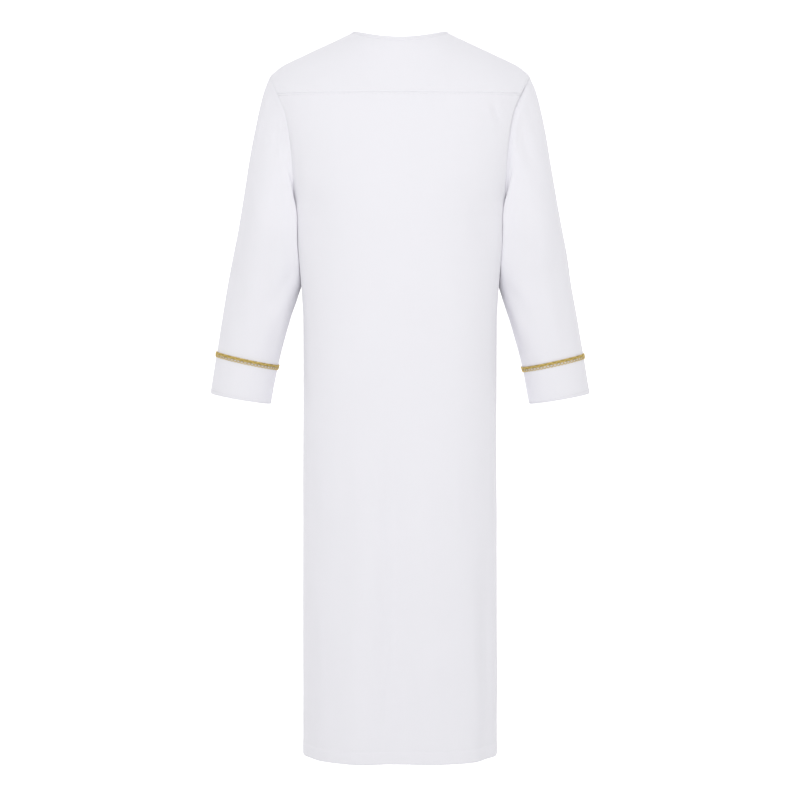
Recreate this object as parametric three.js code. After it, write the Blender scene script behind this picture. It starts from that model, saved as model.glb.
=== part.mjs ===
// Moroccan kaftan: a long, straight, collarless robe in white cloth, filled out as it hangs when worn,
// with nobody in it. It is cut as a front with a neck slit, a back, a back yoke, two set-in sleeves,
// two deep doubled cuffs and a narrow neck binding. A gold braid with a looped edge covers each cuff seam.
//
// Millimetres, +Z up. The front faces -Y and the wearer's left is +X. The origin is midway between the
// two neck points, where the shoulder seams meet the neck opening and the wearer's shoulders hold it up.
import * as THREE from 'three';

// ---- Driving dimensions ----
const LENGTH = 1392; // neck point straight down to the hem
const CLOTH = 2; // wall of a single layer with its ease
const DOUBLED = 2.6; // wall of a doubled piece: yoke and cuffs
const SEAM_GAP = 0.3; // between neighbouring pieces
const NECK = { half: 87, back: 62, front: 80, backDrop: 15, frontDrop: 96 };
const NECK_RISE = { back: 62, front: 52 }; // degrees that the cloth slopes up at the middle of the neck
const TURN_OVER = 0.55; // how far the cloth beside the neck point already turns over the shoulder
const BINDING = { width: 7, wall: 3.2, proud: 0.6 };
const SHOULDER = { half: 249, slope: 0.463, roundFrom: 215, roundDrop: 9.5 };
const YOKE_SEAM = -119; // height of the yoke's lower seam
const CHEST_LINE = -152; // below it the front is made of level rings
const ARMHOLE = { bottom: -352, back: 56, front: 60, corner: 2.3 };
const SLIT = { bottom: -262, halfOpen: 6, closing: 0.8 };
const SLEEVE_HEAD = { hold: 0.48, pull: 0.6 }; // how long the sleeve keeps the shoulder's line, out of 1
const CUFF_SEAM = 0.772; // share of the sleeve's length from the biceps to the end
const BRAID = { loops: 42, band: 6.6, drop: 4.8, wall: 1.6, overSeam: 2.6 };

// ---- How finely each piece is divided ----
const CELLS = { neck: 6, shoulder: 7, yoke: 3, backArmhole: 10, chest: 5, frontArmhole: 8, skirt: 13 };
const SLEEVE_CELLS = { cap: 6, tube: 9, cuff: 2 };
const NECK_SHARE = 0.31; // share of a panel's half width that lies below the neck opening

// Level sections of the body. Above the armholes' bottom the width runs on under the arms.
const BODY_SECTIONS = [
  { z: -60, width: 262, back: 70, front: 52, corner: 2.2 },
  { z: -114, width: 253, back: 97, front: 82, corner: 2.2 },
  { z: -160, width: 241, back: 109, front: 104, corner: 2.2 },
  { z: -215, width: 229, back: 118, front: 118, corner: 2.25 },
  { z: -285, width: 216, back: 123, front: 128, corner: 2.3 },
  { z: -335, width: 198, back: 123, front: 131, corner: 2.35 },
  { z: -360, width: 188.5, back: 123, front: 131, corner: 2.4 },
  { z: -420, width: 187, back: 122, front: 131, corner: 2.45 },
  { z: -640, width: 187, back: 121, front: 129, corner: 2.5 },
  { z: -900, width: 188, back: 127, front: 130, corner: 2.6 },
  { z: -1180, width: 189, back: 131, front: 133, corner: 2.75 },
  { z: -1440, width: 190, back: 134, front: 136, corner: 2.9 },
];

// Soft lengthwise folds: where round the body (degrees from the wearer's left, 90 at the back), how
// wide, how far out (or in, below zero) at the hem, and the height where each one begins.
const BODY_FOLDS = [
  { at: 88, spread: 7, relief: -7, top: -640 },
  { at: 73, spread: 11, relief: 4, top: -700 },
  { at: 103, spread: 11, relief: 3, top: -760 },
  { at: 128, spread: 12, relief: 3, top: -820 },
  { at: 27, spread: 10, relief: -4, top: -900 },
  { at: 147, spread: 9, relief: -5, top: -880 },
  { at: 204, spread: 11, relief: -4, top: -860 },
  { at: 231, spread: 12, relief: 5, top: -560 },
  { at: 256, spread: 10, relief: -7, top: -620 },
  { at: 284, spread: 11, relief: 5, top: -700 },
  { at: 309, spread: 12, relief: -6, top: -600 },
  { at: 336, spread: 10, relief: 3, top: -940 },
];

// Sections of the sleeve, from the biceps to its end: the edge points seen from the back, the half
// depth and how far the arm hangs forward. The share is of the way down the sleeve.
const SLEEVE_SECTIONS = [
  { share: 0, outX: 314.5, outZ: -388, inX: 189.5, inZ: -395, depth: 67, forward: 10 },
  { share: 0.13, outX: 322.5, outZ: -425, inX: 188, inZ: -437, depth: 65, forward: 18 },
  { share: 0.26, outX: 329.5, outZ: -461, inX: 192, inZ: -480, depth: 62, forward: 25 },
  { share: 0.5, outX: 343.5, outZ: -537, inX: 214.5, inZ: -555, depth: 55, forward: 30 },
  { share: CUFF_SEAM, outX: 358, outZ: -619, inX: 239, inZ: -645, depth: 46, forward: 34 },
  { share: 1, outX: 371, outZ: -695.5, inX: 253.5, inZ: -716, depth: 42, forward: 38 },
];

// One loop of the braid's edge, as shares of its pitch and its drop: outer line, then the gap's line.
const LOOP_OUTER = [[0, 0], [0.14, 0.62], [0.5, 1], [0.86, 0.62], [1, 0]];
const LOOP_INNER = [[0.2, 0], [0.29, 0.4], [0.5, 0.64], [0.71, 0.4], [0.8, 0]];

// ---- Small maths ----
const DEGREE = Math.PI / 180;
const BACK = 1;
const FRONT = -1;
const LEFT = 1;
const RIGHT = -1;
const [LOOP_LEFT, LOOP_RIGHT] = [LOOP_INNER[0][0], LOOP_INNER.at(-1)[0]];
const SAME_PLACE = 1e-3; // points nearer than this are one
const vector = (x, y, z) => new THREE.Vector3(x, y, z);
const mix = (a, b, share) => a + (b - a) * share;
const power = (value, exponent) => Math.sign(value) * Math.abs(value) ** exponent;
const steps = (count, from = 0, to = 1) =>
  Array.from({ length: count + 1 }, (_, i) => mix(from, to, i / count));
const smoothStep = (share) => {
  const s = THREE.MathUtils.clamp(share, 0, 1);
  return s * s * (3 - 2 * s);
};

/** Cubic curve from a to b, leaving along `start` and arriving along `end`, at share t. */
function hermite(a, start, b, end, t) {
  const t2 = t * t;
  const t3 = t2 * t;
  return vector(0, 0, 0)
    .addScaledVector(a, 2 * t3 - 3 * t2 + 1)
    .addScaledVector(start, t3 - 2 * t2 + t)
    .addScaledVector(b, 3 * t2 - 2 * t3)
    .addScaledVector(end, t3 - t2);
}

/** All named columns of a table at one value of its key column, on smooth curves through its rows. */
function rowAt(table, key, value) {
  const falling = table[0][key] > table.at(-1)[key];
  const past = (row) => (falling ? row[key] <= value : row[key] >= value);
  const next = THREE.MathUtils.clamp(table.findIndex(past), 1, table.length - 1);
  const i = table.some(past) ? next : table.length - 1;
  const [before, low, high, after] = [-2, -1, 0, 1].map(
    (offset) => table[THREE.MathUtils.clamp(i + offset, 0, table.length - 1)]);
  const span = high[key] - low[key];
  const t = (value - low[key]) / span;
  const slope = (a, b, column) => (b[column] - a[column]) / (b[key] - a[key]);
  const found = {};
  for (const column of Object.keys(low)) {
    const start = slope(before, high, column) * span;
    const end = slope(low, after, column) * span;
    const t2 = t * t;
    const t3 = t2 * t;
    found[column] = low[column] * (2 * t3 - 3 * t2 + 1) + start * (t3 - 2 * t2 + t)
      + high[column] * (3 * t2 - 2 * t3) + end * (t3 - t2);
  }
  return found;
}

/** Unit normal of a surface function at (u, v), by central differences inside the limits given. */
function normalOf(surface, u, v, [uLow, uHigh], [vLow, vHigh], step = 1e-3) {
  const du = surface(Math.min(u + step, uHigh), v).sub(surface(Math.max(u - step, uLow), v));
  const dv = surface(u, Math.min(v + step, vHigh)).sub(surface(u, Math.max(v - step, vLow)));
  return du.cross(dv).normalize();
}

// ---- The body's form ----

/** How far the folds push the cloth out at an angle round the body and a height. */
function foldRelief(angle, z) {
  return BODY_FOLDS.reduce((sum, fold) => {
    const turn = ((angle / DEGREE - fold.at + 540) % 360) - 180;
    const grown = smoothStep((fold.top - z) / (fold.top + LENGTH));
    return sum + fold.relief * grown * Math.exp(-((turn / fold.spread) ** 2));
  }, 0);
}

/** Point of the body at an angle (0 at the wearer's left, a quarter turn at the back) and a height. */
function bodyPoint(angle, z) {
  const section = rowAt(BODY_SECTIONS, 'z', z);
  const depth = Math.sin(angle) >= 0 ? section.back : section.front;
  const x = section.width * power(Math.cos(angle), 2 / section.corner);
  const y = depth * power(Math.sin(angle), 2 / section.corner);
  const swell = 1 + foldRelief(angle, z) / Math.hypot(x, y);
  return vector(x * swell, y * swell, z);
}

const shoulderDrop = (x) =>
  SHOULDER.slope * (x - NECK.half)
  + SHOULDER.roundDrop * (Math.max(0, x - SHOULDER.roundFrom) / (SHOULDER.half - SHOULDER.roundFrom)) ** 2;
const ARMHOLE_TOP = -shoulderDrop(SHOULDER.half);
const ARMHOLE_MIDDLE = (ARMHOLE_TOP + ARMHOLE.bottom) / 2;
const ARMHOLE_RISE = (ARMHOLE_TOP - ARMHOLE.bottom) / 2;

/** Height on the armhole's oval, from its top (turn 0) to its bottom (turn 1). */
const armholeHeight = (turn) => ARMHOLE_MIDDLE + ARMHOLE_RISE * Math.cos(Math.PI * turn);
const armholeTurn = (z) => Math.acos((z - ARMHOLE_MIDDLE) / ARMHOLE_RISE) / Math.PI;

/** Angle from the middle of the back or front to the panel's edge: the armhole, or the side seam. */
function edgeAngle(face, z) {
  if (z <= ARMHOLE.bottom) return Math.PI / 2;
  const section = rowAt(BODY_SECTIONS, 'z', z);
  const rise = Math.min(1, Math.abs(z - ARMHOLE_MIDDLE) / ARMHOLE_RISE);
  const reach = face === BACK ? ARMHOLE.back : ARMHOLE.front;
  const y = reach * (1 - rise ** ARMHOLE.corner) ** (1 / ARMHOLE.corner);
  const depth = face === BACK ? section.back : section.front;
  return Math.PI / 2 - Math.asin((y / depth) ** (section.corner / 2));
}

/** Half width of the neck slit at a height: open at the top, closed at its foot. */
function slitHalf(z) {
  const risen = Math.max(0, (z - SLIT.bottom) / (-NECK.frontDrop - SLIT.bottom));
  return SLIT.halfOpen * risen ** SLIT.closing;
}

/** Angle from the middle of the front where the slit's edge lies. */
function slitAngle(z) {
  const section = rowAt(BODY_SECTIONS, 'z', z);
  return Math.asin((slitHalf(z) / section.width) ** (section.corner / 2));
}

/** Point of a level row of the back or front: share 0 at its middle, 1 at the armhole or side seam. */
function levelPoint(face, side, share, z) {
  const inner = face === FRONT ? slitAngle(z) : 0;
  const turn = side * mix(inner, edgeAngle(face, z), share);
  return bodyPoint(face === BACK ? Math.PI / 2 - turn : Math.PI * 1.5 + turn, z);
}

// ---- The neck and shoulders ----

/** Neck edge at a turn from the middle (0) to the neck point (a quarter turn), and its upward slope. */
function neckEdge(face, side, turn) {
  const [depth, drop] = face === BACK ? [NECK.back, NECK.backDrop] : [NECK.front, NECK.frontDrop];
  const middleRise = (face === BACK ? NECK_RISE.back : NECK_RISE.front) * DEGREE;
  const level = mix(middleRise, Math.atan(SHOULDER.slope), Math.sin(turn) ** 2);
  const [out, ahead] = [Math.sin(turn), Math.cos(turn)];
  const edge = vector(side * NECK.half * out, face * depth * ahead, -drop * ahead ** 2);
  const rise = vector(-side * out * Math.cos(level), -face * ahead * Math.cos(level), Math.sin(level));
  return { edge, rise: rise.normalize() };
}

/** Where the neck binding is sewn on: the binding's width down from the neck edge. */
function neckSeam(face, side, turn) {
  const { edge, rise } = neckEdge(face, side, turn);
  return edge.addScaledVector(rise, -BINDING.width);
}

const neckTurn = (face, share) => {
  const slit = face === FRONT ? Math.asin(SLIT.halfOpen / NECK.half) : 0;
  return mix(slit, Math.PI / 2, share);
};

/** Upper edge of the yoke or front at a share from the middle to the armhole, and the way it arrives. */
function topEdge(face, side, share) {
  const overShoulder = vector(0, -face, 0);
  if (share <= NECK_SHARE) {
    const along = share / NECK_SHARE;
    const turn = neckTurn(face, along);
    const { rise } = neckEdge(face, side, turn);
    const arrive = rise.lerp(overShoulder, TURN_OVER * along ** 3).normalize();
    return { point: neckSeam(face, side, turn), arrive };
  }
  const start = neckSeam(face, side, Math.PI / 2);
  const x = mix(Math.abs(start.x), SHOULDER.half, (share - NECK_SHARE) / (1 - NECK_SHARE));
  return { point: vector(side * x, 0, -shoulderDrop(x)), arrive: overShoulder };
}

/** Point between a level row (t 0) and the upper edge (t 1), on a curve that leaves the row smoothly. */
function crestPoint(face, side, base, share, t) {
  const foot = levelPoint(face, side, share, base);
  const leave = levelPoint(face, side, share, base + 1).sub(foot).normalize();
  const { point, arrive } = topEdge(face, side, share);
  const reach = point.distanceTo(foot);
  return hermite(foot, leave.multiplyScalar(reach), point, arrive.multiplyScalar(reach), t);
}

// ---- Walls ----

/** Turns the corners of each cell round, for a piece mirrored to the other side. */
const reversed = (cells) => cells.map((cell) => [...cell].reverse());

/** Cells between the rows of a grid of corners; its rows run down and its columns to the right. */
function gridCells(grid) {
  const cells = [];
  for (let r = 0; r + 1 < grid.length; r += 1) {
    for (let c = 0; c + 1 < grid[r].length; c += 1) {
      cells.push([grid[r][c], grid[r + 1][c], grid[r + 1][c + 1], grid[r][c + 1]]);
    }
  }
  return cells;
}

/** Cells of the same grid seen mirrored in the middle of the body. */
function mirroredCells(cells) {
  const flip = ({ p, n }) => ({ p: vector(-p.x, p.y, p.z), n: vector(-n.x, n.y, n.z) });
  return reversed(cells.map((cell) => cell.map(flip)));
}

/** Numbers the cells' corners so that those at one place are one, and gives the walls' two sides. */
function joinedCorners(cells, thickness) {
  const ids = new Map();
  const outer = [];
  const inner = [];
  const idOf = ({ p, n }) => {
    const key = p.toArray().map((v) => Math.round(v / SAME_PLACE)).join();
    if (!ids.has(key)) {
      ids.set(key, outer.length);
      outer.push(p);
      inner.push(p.clone().addScaledVector(n, -thickness));
    }
    return ids.get(key);
  };
  return { quads: cells.map((cell) => cell.map(idOf)), outer, inner };
}

/** Closed wall on the cells' corners ({p, n}: point and outward normal), going inwards. */
function wall(cells, thickness) {
  const { quads, outer, inner } = joinedCorners(cells, thickness);
  const edges = new Set();
  for (const quad of quads) quad.forEach((a, i) => edges.add(a + ':' + quad[(i + 1) % 4]));
  const under = outer.length;
  const index = [];
  for (const quad of quads) {
    const [a, b, c, d] = quad;
    index.push(a, b, c, a, c, d);
    index.push(a + under, c + under, b + under, a + under, d + under, c + under);
    quad.forEach((from, i) => {
      const to = quad[(i + 1) % 4];
      if (edges.has(to + ':' + from)) return;
      index.push(to, from, from + under, to, from + under, to + under);
    });
  }
  const geometry = new THREE.BufferGeometry().setFromPoints([...outer, ...inner]);
  geometry.setIndex(index);
  geometry.computeVertexNormals();
  return geometry;
}

/** Draws a row or column of corners back from a seam, towards its neighbours in the same piece. */
function drawBack(corners, neighbours) {
  corners.forEach((corner, i) => {
    const way = neighbours[i].p.clone().sub(corner.p).normalize();
    corner.p = corner.p.clone().addScaledVector(way, SEAM_GAP / 2 * corner.n.length());
  });
}

// ---- Panels ----
const COLUMN_SHARES = [
  ...steps(CELLS.neck, 0, NECK_SHARE),
  ...steps(CELLS.shoulder, NECK_SHARE, 1).slice(1),
];
const SIDE_COLUMN = COLUMN_SHARES.length - 1;

/** Rows of corners from the upper edge down to a level row. */
function crestRows(face, side, base, rows) {
  const surface = (share, t) => crestPoint(face, side, base, share, t);
  return steps(rows, 1, 0).map((t) => COLUMN_SHARES.map((share) => ({
    p: surface(share, t),
    n: normalOf(surface, share, t, [0, 1], [0, 1]).multiplyScalar(-side * face),
  })));
}

/** Rows of corners at the heights given. */
function levelRows(face, side, heights) {
  const surface = (share, down) => levelPoint(face, side, share, down * LENGTH);
  return heights.map((z) => COLUMN_SHARES.map((share) => ({
    p: levelPoint(face, side, share, z),
    n: normalOf(surface, share, z / LENGTH, [-1, 2], [-2, 0]).multiplyScalar(-side * face),
  })));
}

/** Heights of the rows from a level row down past the armhole to the hem. */
function rowHeights(base, armholeRows) {
  const armhole = steps(armholeRows, armholeTurn(base), 1).map(armholeHeight);
  return [...armhole, ...steps(CELLS.skirt, ARMHOLE.bottom, -LENGTH).slice(1)];
}

const columnOf = (grid, c) => grid.map((row) => row[c]);
const copyOf = (grid) => grid.map((row) => row.map(({ p, n }) => ({ p: p.clone(), n: n.clone() })));

/** One half of a piece with its seams drawn back; the side column is the armhole and side seam. */
function seamed(grid, side, { top = false, foot = false }) {
  const made = copyOf(grid);
  const toSide = vector(side, 1, 1);
  for (const corner of columnOf(made, SIDE_COLUMN)) {
    const onLeft = corner.p.clone().multiply(toSide);
    const seam = ARMHOLE_SEAM.find(({ p }) => p.distanceTo(onLeft) < SAME_PLACE);
    if (seam) corner.n = seam.panelNormal.clone().multiply(toSide);
  }
  drawBack(columnOf(made, SIDE_COLUMN), columnOf(made, SIDE_COLUMN - 1));
  if (top) drawBack(made[0], made[1]);
  if (foot) drawBack(made.at(-1), made.at(-2));
  return made;
}

/** Cells of both halves of a piece, from a function that gives one side's grid. */
function bothHalves(face, gridOf) {
  return [LEFT, RIGHT].flatMap((side) => {
    const cells = gridCells(gridOf(side));
    return side * face < 0 ? cells : reversed(cells);
  });
}

const yokeGrid = (side) => crestRows(BACK, side, YOKE_SEAM, CELLS.yoke);
const backGrid = (side) => levelRows(BACK, side, rowHeights(YOKE_SEAM, CELLS.backArmhole));
const frontGrid = (side) => [
  ...crestRows(FRONT, side, CHEST_LINE, CELLS.chest).slice(0, -1),
  ...levelRows(FRONT, side, rowHeights(CHEST_LINE, CELLS.frontArmhole)),
];

/** Neck binding: a strip from the sewn line up to the neck edge, open at the slit. */
function bindingCells() {
  return [BACK, FRONT].flatMap((face) => [LEFT, RIGHT].flatMap((side) => {
    const grid = [[], []];
    for (const share of steps(CELLS.neck)) {
      const turn = neckTurn(face, share);
      const { edge, rise } = neckEdge(face, side, turn);
      const along = neckSeam(face, side, turn + 1e-3).sub(neckSeam(face, side, turn - 1e-3));
      const n = along.cross(rise).normalize().multiplyScalar(-side * face);
      const lift = n.clone().multiplyScalar(BINDING.proud);
      const foot = neckSeam(face, side, turn).addScaledVector(rise, SEAM_GAP / 2);
      grid[0].push({ p: edge.add(lift), n });
      grid[1].push({ p: foot.add(lift), n });
    }
    const cells = gridCells(grid);
    return side * face < 0 ? cells : reversed(cells);
  }));
}

// ---- Sleeves, built on the wearer's left ----

/** Corners of the armhole from the shoulder point round the back, the underarm and up the front. */
function armholeCorners() {
  const back = [
    ...columnOf(yokeGrid(LEFT), SIDE_COLUMN),
    ...columnOf(backGrid(LEFT), SIDE_COLUMN).slice(1, CELLS.backArmhole + 1),
  ];
  const front = columnOf(frontGrid(LEFT), SIDE_COLUMN).slice(1, CELLS.chest + CELLS.frontArmhole);
  return { corners: [...back, ...front.reverse()], underarm: back.length - 1 };
}

/** Turn round the sleeve (0 outside, pi at the underarm) of each corner, by its share of the armhole. */
function loopTurns(corners, underarm) {
  const count = corners.length;
  const lengths = [0];
  for (let i = 1; i <= count; i += 1) {
    lengths.push(lengths[i - 1] + corners[i % count].p.distanceTo(corners[i - 1].p));
  }
  const [half, whole] = [lengths[underarm], lengths[count]];
  return lengths.slice(0, count).map((length) => (length <= half
    ? Math.PI * length / half
    : Math.PI * (1 + (length - half) / (whole - half))));
}

/** Point of the sleeve below the biceps at a share of its length and a turn round it. */
function sleevePoint(share, turn) {
  const s = rowAt(SLEEVE_SECTIONS, 'share', share);
  const across = vector(s.outX - s.inX, 0, s.outZ - s.inZ).multiplyScalar(0.5);
  return vector((s.outX + s.inX) / 2, -s.forward, (s.outZ + s.inZ) / 2)
    .addScaledVector(across, Math.cos(turn))
    .add(vector(0, s.depth * Math.sin(turn), 0));
}

const sleeveNormal = (share, turn) => normalOf(sleevePoint, share, turn, [0, 1], [-9, 9]);

/**
 * Where panel and sleeve meet at a corner of the armhole. Over the shoulder they fold away from each
 * other and share one normal, so that their edges stay square; under the arm the sleeve folds down
 * in front of the panel, and each keeps its own normal.
 */
function seamCorner(corners, i, turn) {
  const count = corners.length;
  const { p, n } = corners[i];
  const along = corners[(i + 1) % count].p.clone().sub(corners[(i + count - 1) % count].p).normalize();
  const leave = along.clone().cross(n).normalize();
  const chord = sleevePoint(0, turn).sub(p).normalize();
  const hold = SLEEVE_HEAD.hold * Math.cos(turn / 2) ** 2;
  const way = chord.multiplyScalar(1 - hold).addScaledVector(leave, hold).normalize();
  const own = way.clone().cross(along).normalize();
  if (way.dot(n) < 0) {
    const shared = own.add(n).normalize();
    shared.divideScalar(shared.dot(n));
    const start = p.clone().addScaledVector(way, SEAM_GAP / 2 * shared.length());
    return { p, turn, way, start, panelNormal: shared, sleeveNormal: shared };
  }
  const half = Math.atan2(way.dot(n), way.dot(leave)) / 2;
  const apart = leave.multiplyScalar(Math.cos(half)).addScaledVector(n, Math.sin(half));
  const start = p.clone().addScaledVector(apart, SEAM_GAP / 2 * (1 + Math.sin(half)));
  return { p, turn, way, start, panelNormal: n, sleeveNormal: own };
}

/** All of the armhole's seam, in the order of its corners. */
function armholeSeam() {
  const { corners, underarm } = armholeCorners();
  return loopTurns(corners, underarm).map((turn, i) => seamCorner(corners, i, turn));
}
const ARMHOLE_SEAM = armholeSeam();

/** Points of one column of the sleeve, from the armhole to the biceps and down to the cuff seam. */
function sleeveColumn({ start, way, turn }) {
  const target = sleevePoint(0, turn);
  const reach = start.distanceTo(target);
  const down = sleevePoint(0.01, turn).sub(target).normalize();
  const leave = way.clone().multiplyScalar(reach * SLEEVE_HEAD.pull);
  const arrive = down.multiplyScalar(reach);
  const cap = steps(SLEEVE_CELLS.cap).map((t) => hermite(start, leave, target, arrive, t));
  const tube = steps(SLEEVE_CELLS.tube, 0, CUFF_SEAM).slice(1).map((share) => sleevePoint(share, turn));
  return [...cap, ...tube];
}

/** Corners of the sleeve as rows round it; the last column closes the tube. */
function sleeveGrid() {
  const columns = ARMHOLE_SEAM.map(sleeveColumn);
  const count = columns.length;
  const last = columns[0].length - 1;
  return steps(last, 0, last).map((r) => [...columns, columns[0]].map((points, i) => {
    const down = points[Math.min(r + 1, last)].clone().sub(points[Math.max(r - 1, 0)]);
    const across = columns[(i + 1) % count][r].clone().sub(columns[(i + count - 1) % count][r]);
    const n = r === 0 ? ARMHOLE_SEAM[i % count].sleeveNormal : down.cross(across).normalize();
    return { p: points[r].clone(), n: n.clone() };
  }));
}

function sleeveCells() {
  const grid = sleeveGrid();
  drawBack(grid.at(-1), grid.at(-2));
  return gridCells(grid);
}

function cuffCells() {
  const turns = [...ARMHOLE_SEAM.map(({ turn }) => turn), 2 * Math.PI];
  const cornerAt = (share) => (turn) => ({ p: sleevePoint(share, turn), n: sleeveNormal(share, turn) });
  const grid = steps(SLEEVE_CELLS.cuff, CUFF_SEAM, 1).map((share) => turns.map(cornerAt(share)));
  drawBack(grid[0], grid[1]);
  return gridCells(grid);
}

// ---- Gold braid ----

/** Turn round the sleeve at a share of the way round its edge, by length, at the cuff seam. */
function evenTurn(shareRound) {
  const samples = steps(360, 0, 2 * Math.PI);
  const lengths = [0];
  for (let i = 1; i < samples.length; i += 1) {
    const piece = sleevePoint(CUFF_SEAM, samples[i]).distanceTo(sleevePoint(CUFF_SEAM, samples[i - 1]));
    lengths.push(lengths[i - 1] + piece);
  }
  const wanted = shareRound * lengths.at(-1);
  const i = THREE.MathUtils.clamp(lengths.findIndex((length) => length >= wanted), 1, samples.length - 1);
  return mix(samples[i - 1], samples[i], (wanted - lengths[i - 1]) / (lengths[i] - lengths[i - 1]));
}

/** Braid cells: a band with a row of open loops below it, on the sleeve's own surface, moved out. */
function braidCells() {
  const sleeveLength = sleevePoint(0, 0).distanceTo(sleevePoint(1, 0));
  const corner = (across, down) => {
    const turn = evenTurn(((across / BRAID.loops) % 1 + 1) % 1);
    const share = CUFF_SEAM + (down - BRAID.overSeam) / sleeveLength;
    const n = sleeveNormal(share, turn);
    return { p: sleevePoint(share, turn).addScaledVector(n, SEAM_GAP + BRAID.wall), n };
  };
  const cells = [];
  for (let loop = 0; loop < BRAID.loops; loop += 1) {
    const edge = [0, LOOP_LEFT, LOOP_RIGHT, 1];
    cells.push(...gridCells([0, BRAID.band].map((down) => edge.map((a) => corner(loop + a, down)))));
    const line = (points) => points.map(([a, drop]) => corner(loop + a, BRAID.band + drop * BRAID.drop));
    cells.push(...gridCells([line(LOOP_INNER), line(LOOP_OUTER)]));
  }
  return cells;
}

// ---- The garment ----
const clothMaterial = new THREE.MeshStandardMaterial({ color: '#efeef3', roughness: 0.85, metalness: 0 });
const goldMaterial = new THREE.MeshStandardMaterial({ color: '#b98f35', roughness: 0.38, metalness: 0.85 });

function piece(name, cells, thickness, material) {
  const mesh = new THREE.Mesh(wall(cells, thickness), material);
  mesh.name = name;
  return mesh;
}

const yokeHalf = (side) => seamed(yokeGrid(side), side, { top: true, foot: true });
const backHalf = (side) => seamed(backGrid(side), side, { top: true });
const frontHalf = (side) => seamed(frontGrid(side), side, { top: true });

const kaftan = new THREE.Group();
kaftan.add(
  piece('back_yoke', bothHalves(BACK, yokeHalf), DOUBLED, clothMaterial),
  piece('back_panel', bothHalves(BACK, backHalf), CLOTH, clothMaterial),
  piece('front_panel', bothHalves(FRONT, frontHalf), CLOTH, clothMaterial),
  piece('neck_binding', bindingCells(), BINDING.wall, clothMaterial),
);
for (const [name, place] of [['left', (cells) => cells], ['right', mirroredCells]]) {
  kaftan.add(
    piece('sleeve_' + name, place(sleeveCells()), CLOTH, clothMaterial),
    piece('cuff_' + name, place(cuffCells()), DOUBLED, clothMaterial),
    piece('braid_' + name, place(braidCells()), BRAID.wall, goldMaterial),
  );
}

export default kaftan;
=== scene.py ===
"""Moroccan kaftan in white cloth, filled out as it hangs when worn, with nobody in it.

Metres, +Z up. The front faces -Y and the wearer's left is +X. The origin is midway between the two
neck points. Each cut piece of cloth is a thin shell on its solid's form, with its folds, seams and
stitches, and each gold braid is worked from its own strands. Under Attributes stand the fields
whose names don't say enough, in metres unless another unit is given.
"""

import logging
import math
from dataclasses import dataclass
from enum import Enum
from functools import partial
from typing import Callable, Sequence

import bpy
import numpy as np
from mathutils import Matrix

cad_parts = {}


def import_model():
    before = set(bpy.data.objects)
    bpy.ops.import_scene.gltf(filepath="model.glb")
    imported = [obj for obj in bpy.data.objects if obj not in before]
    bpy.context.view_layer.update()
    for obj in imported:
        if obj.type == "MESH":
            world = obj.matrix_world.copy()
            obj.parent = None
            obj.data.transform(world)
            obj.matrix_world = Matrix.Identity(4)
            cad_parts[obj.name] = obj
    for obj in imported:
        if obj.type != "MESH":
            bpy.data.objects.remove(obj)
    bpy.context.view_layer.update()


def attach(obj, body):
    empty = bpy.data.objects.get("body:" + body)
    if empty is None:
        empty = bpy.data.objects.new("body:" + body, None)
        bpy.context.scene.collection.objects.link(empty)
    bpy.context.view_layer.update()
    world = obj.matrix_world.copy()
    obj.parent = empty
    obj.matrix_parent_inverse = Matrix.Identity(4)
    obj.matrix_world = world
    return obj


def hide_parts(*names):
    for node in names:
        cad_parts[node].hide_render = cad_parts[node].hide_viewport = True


Array = np.ndarray
MM = 0.001
DEGREE = math.pi / 180
SAME_PLACE = 2e-6  # corners nearer than this are one
LINE_DIGITS = 9  # lines of corners are told apart to this many decimals
WAVE_LENGTH = 0.31416  # a Wave texture of scale 1 repeats after this
log = logging.getLogger("kaftan")


class Face(Enum):
    """The two faces of the body: the sign is that of its outward Y."""

    BACK = 1
    FRONT = -1

    def pick(self, pair: tuple[float, float]) -> float:
        """The back's or the front's value out of a pair."""
        return pair[0] if self is Face.BACK else pair[1]


class Side(Enum):
    """The two sides of the body, as the wearer has them: the sign is that of X."""

    LEFT = 1
    RIGHT = -1

    @property
    def word(self) -> str:
        """The side's name as the nodes spell it."""
        return self.name.lower()

    def pick(self, pair: tuple[float, float]) -> float:
        """The left's or the right's value out of a pair."""
        return pair[0] if self is Side.LEFT else pair[1]


# ---- Small maths on whole arrays


def mix(a: Array, b: Array, share: Array) -> Array:
    """Value at a share of the way from a to b."""
    return a + (b - a) * share


def smooth_step(share: Array) -> Array:
    """Eased share: 3 s squared less 2 s cubed, with s held from 0 to 1."""
    s = np.clip(share, 0, 1)
    return s * s * (3 - 2 * s)


def signed_power(value: Array, exponent: Array) -> Array:
    """Power of the size of a value, with the value's own sign."""
    return np.sign(value) * np.abs(value) ** exponent


def unit(vectors: Array) -> Array:
    """Vectors divided by their lengths."""
    return vectors / np.maximum(np.linalg.norm(vectors, axis=-1, keepdims=True), 1e-12)


def dot(a: Array, b: Array) -> Array:
    """Dot product along the last axis, which it keeps."""
    return (a * b).sum(-1, keepdims=True)


def gauss(distance: Array, width: float) -> Array:
    """Bell curve of height 1: e to the minus square of distance over width."""
    return np.exp(-((distance / width) ** 2))


def lengths_along(points: Array, axis: int = 0) -> Array:
    """Length run along one axis of a grid of points, starting from 0."""
    steps = np.linalg.norm(np.diff(points, axis=axis), axis=-1)
    pad = [(0, 0)] * steps.ndim
    pad[axis] = (1, 0)
    return np.pad(np.cumsum(steps, axis=axis), pad)


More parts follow.
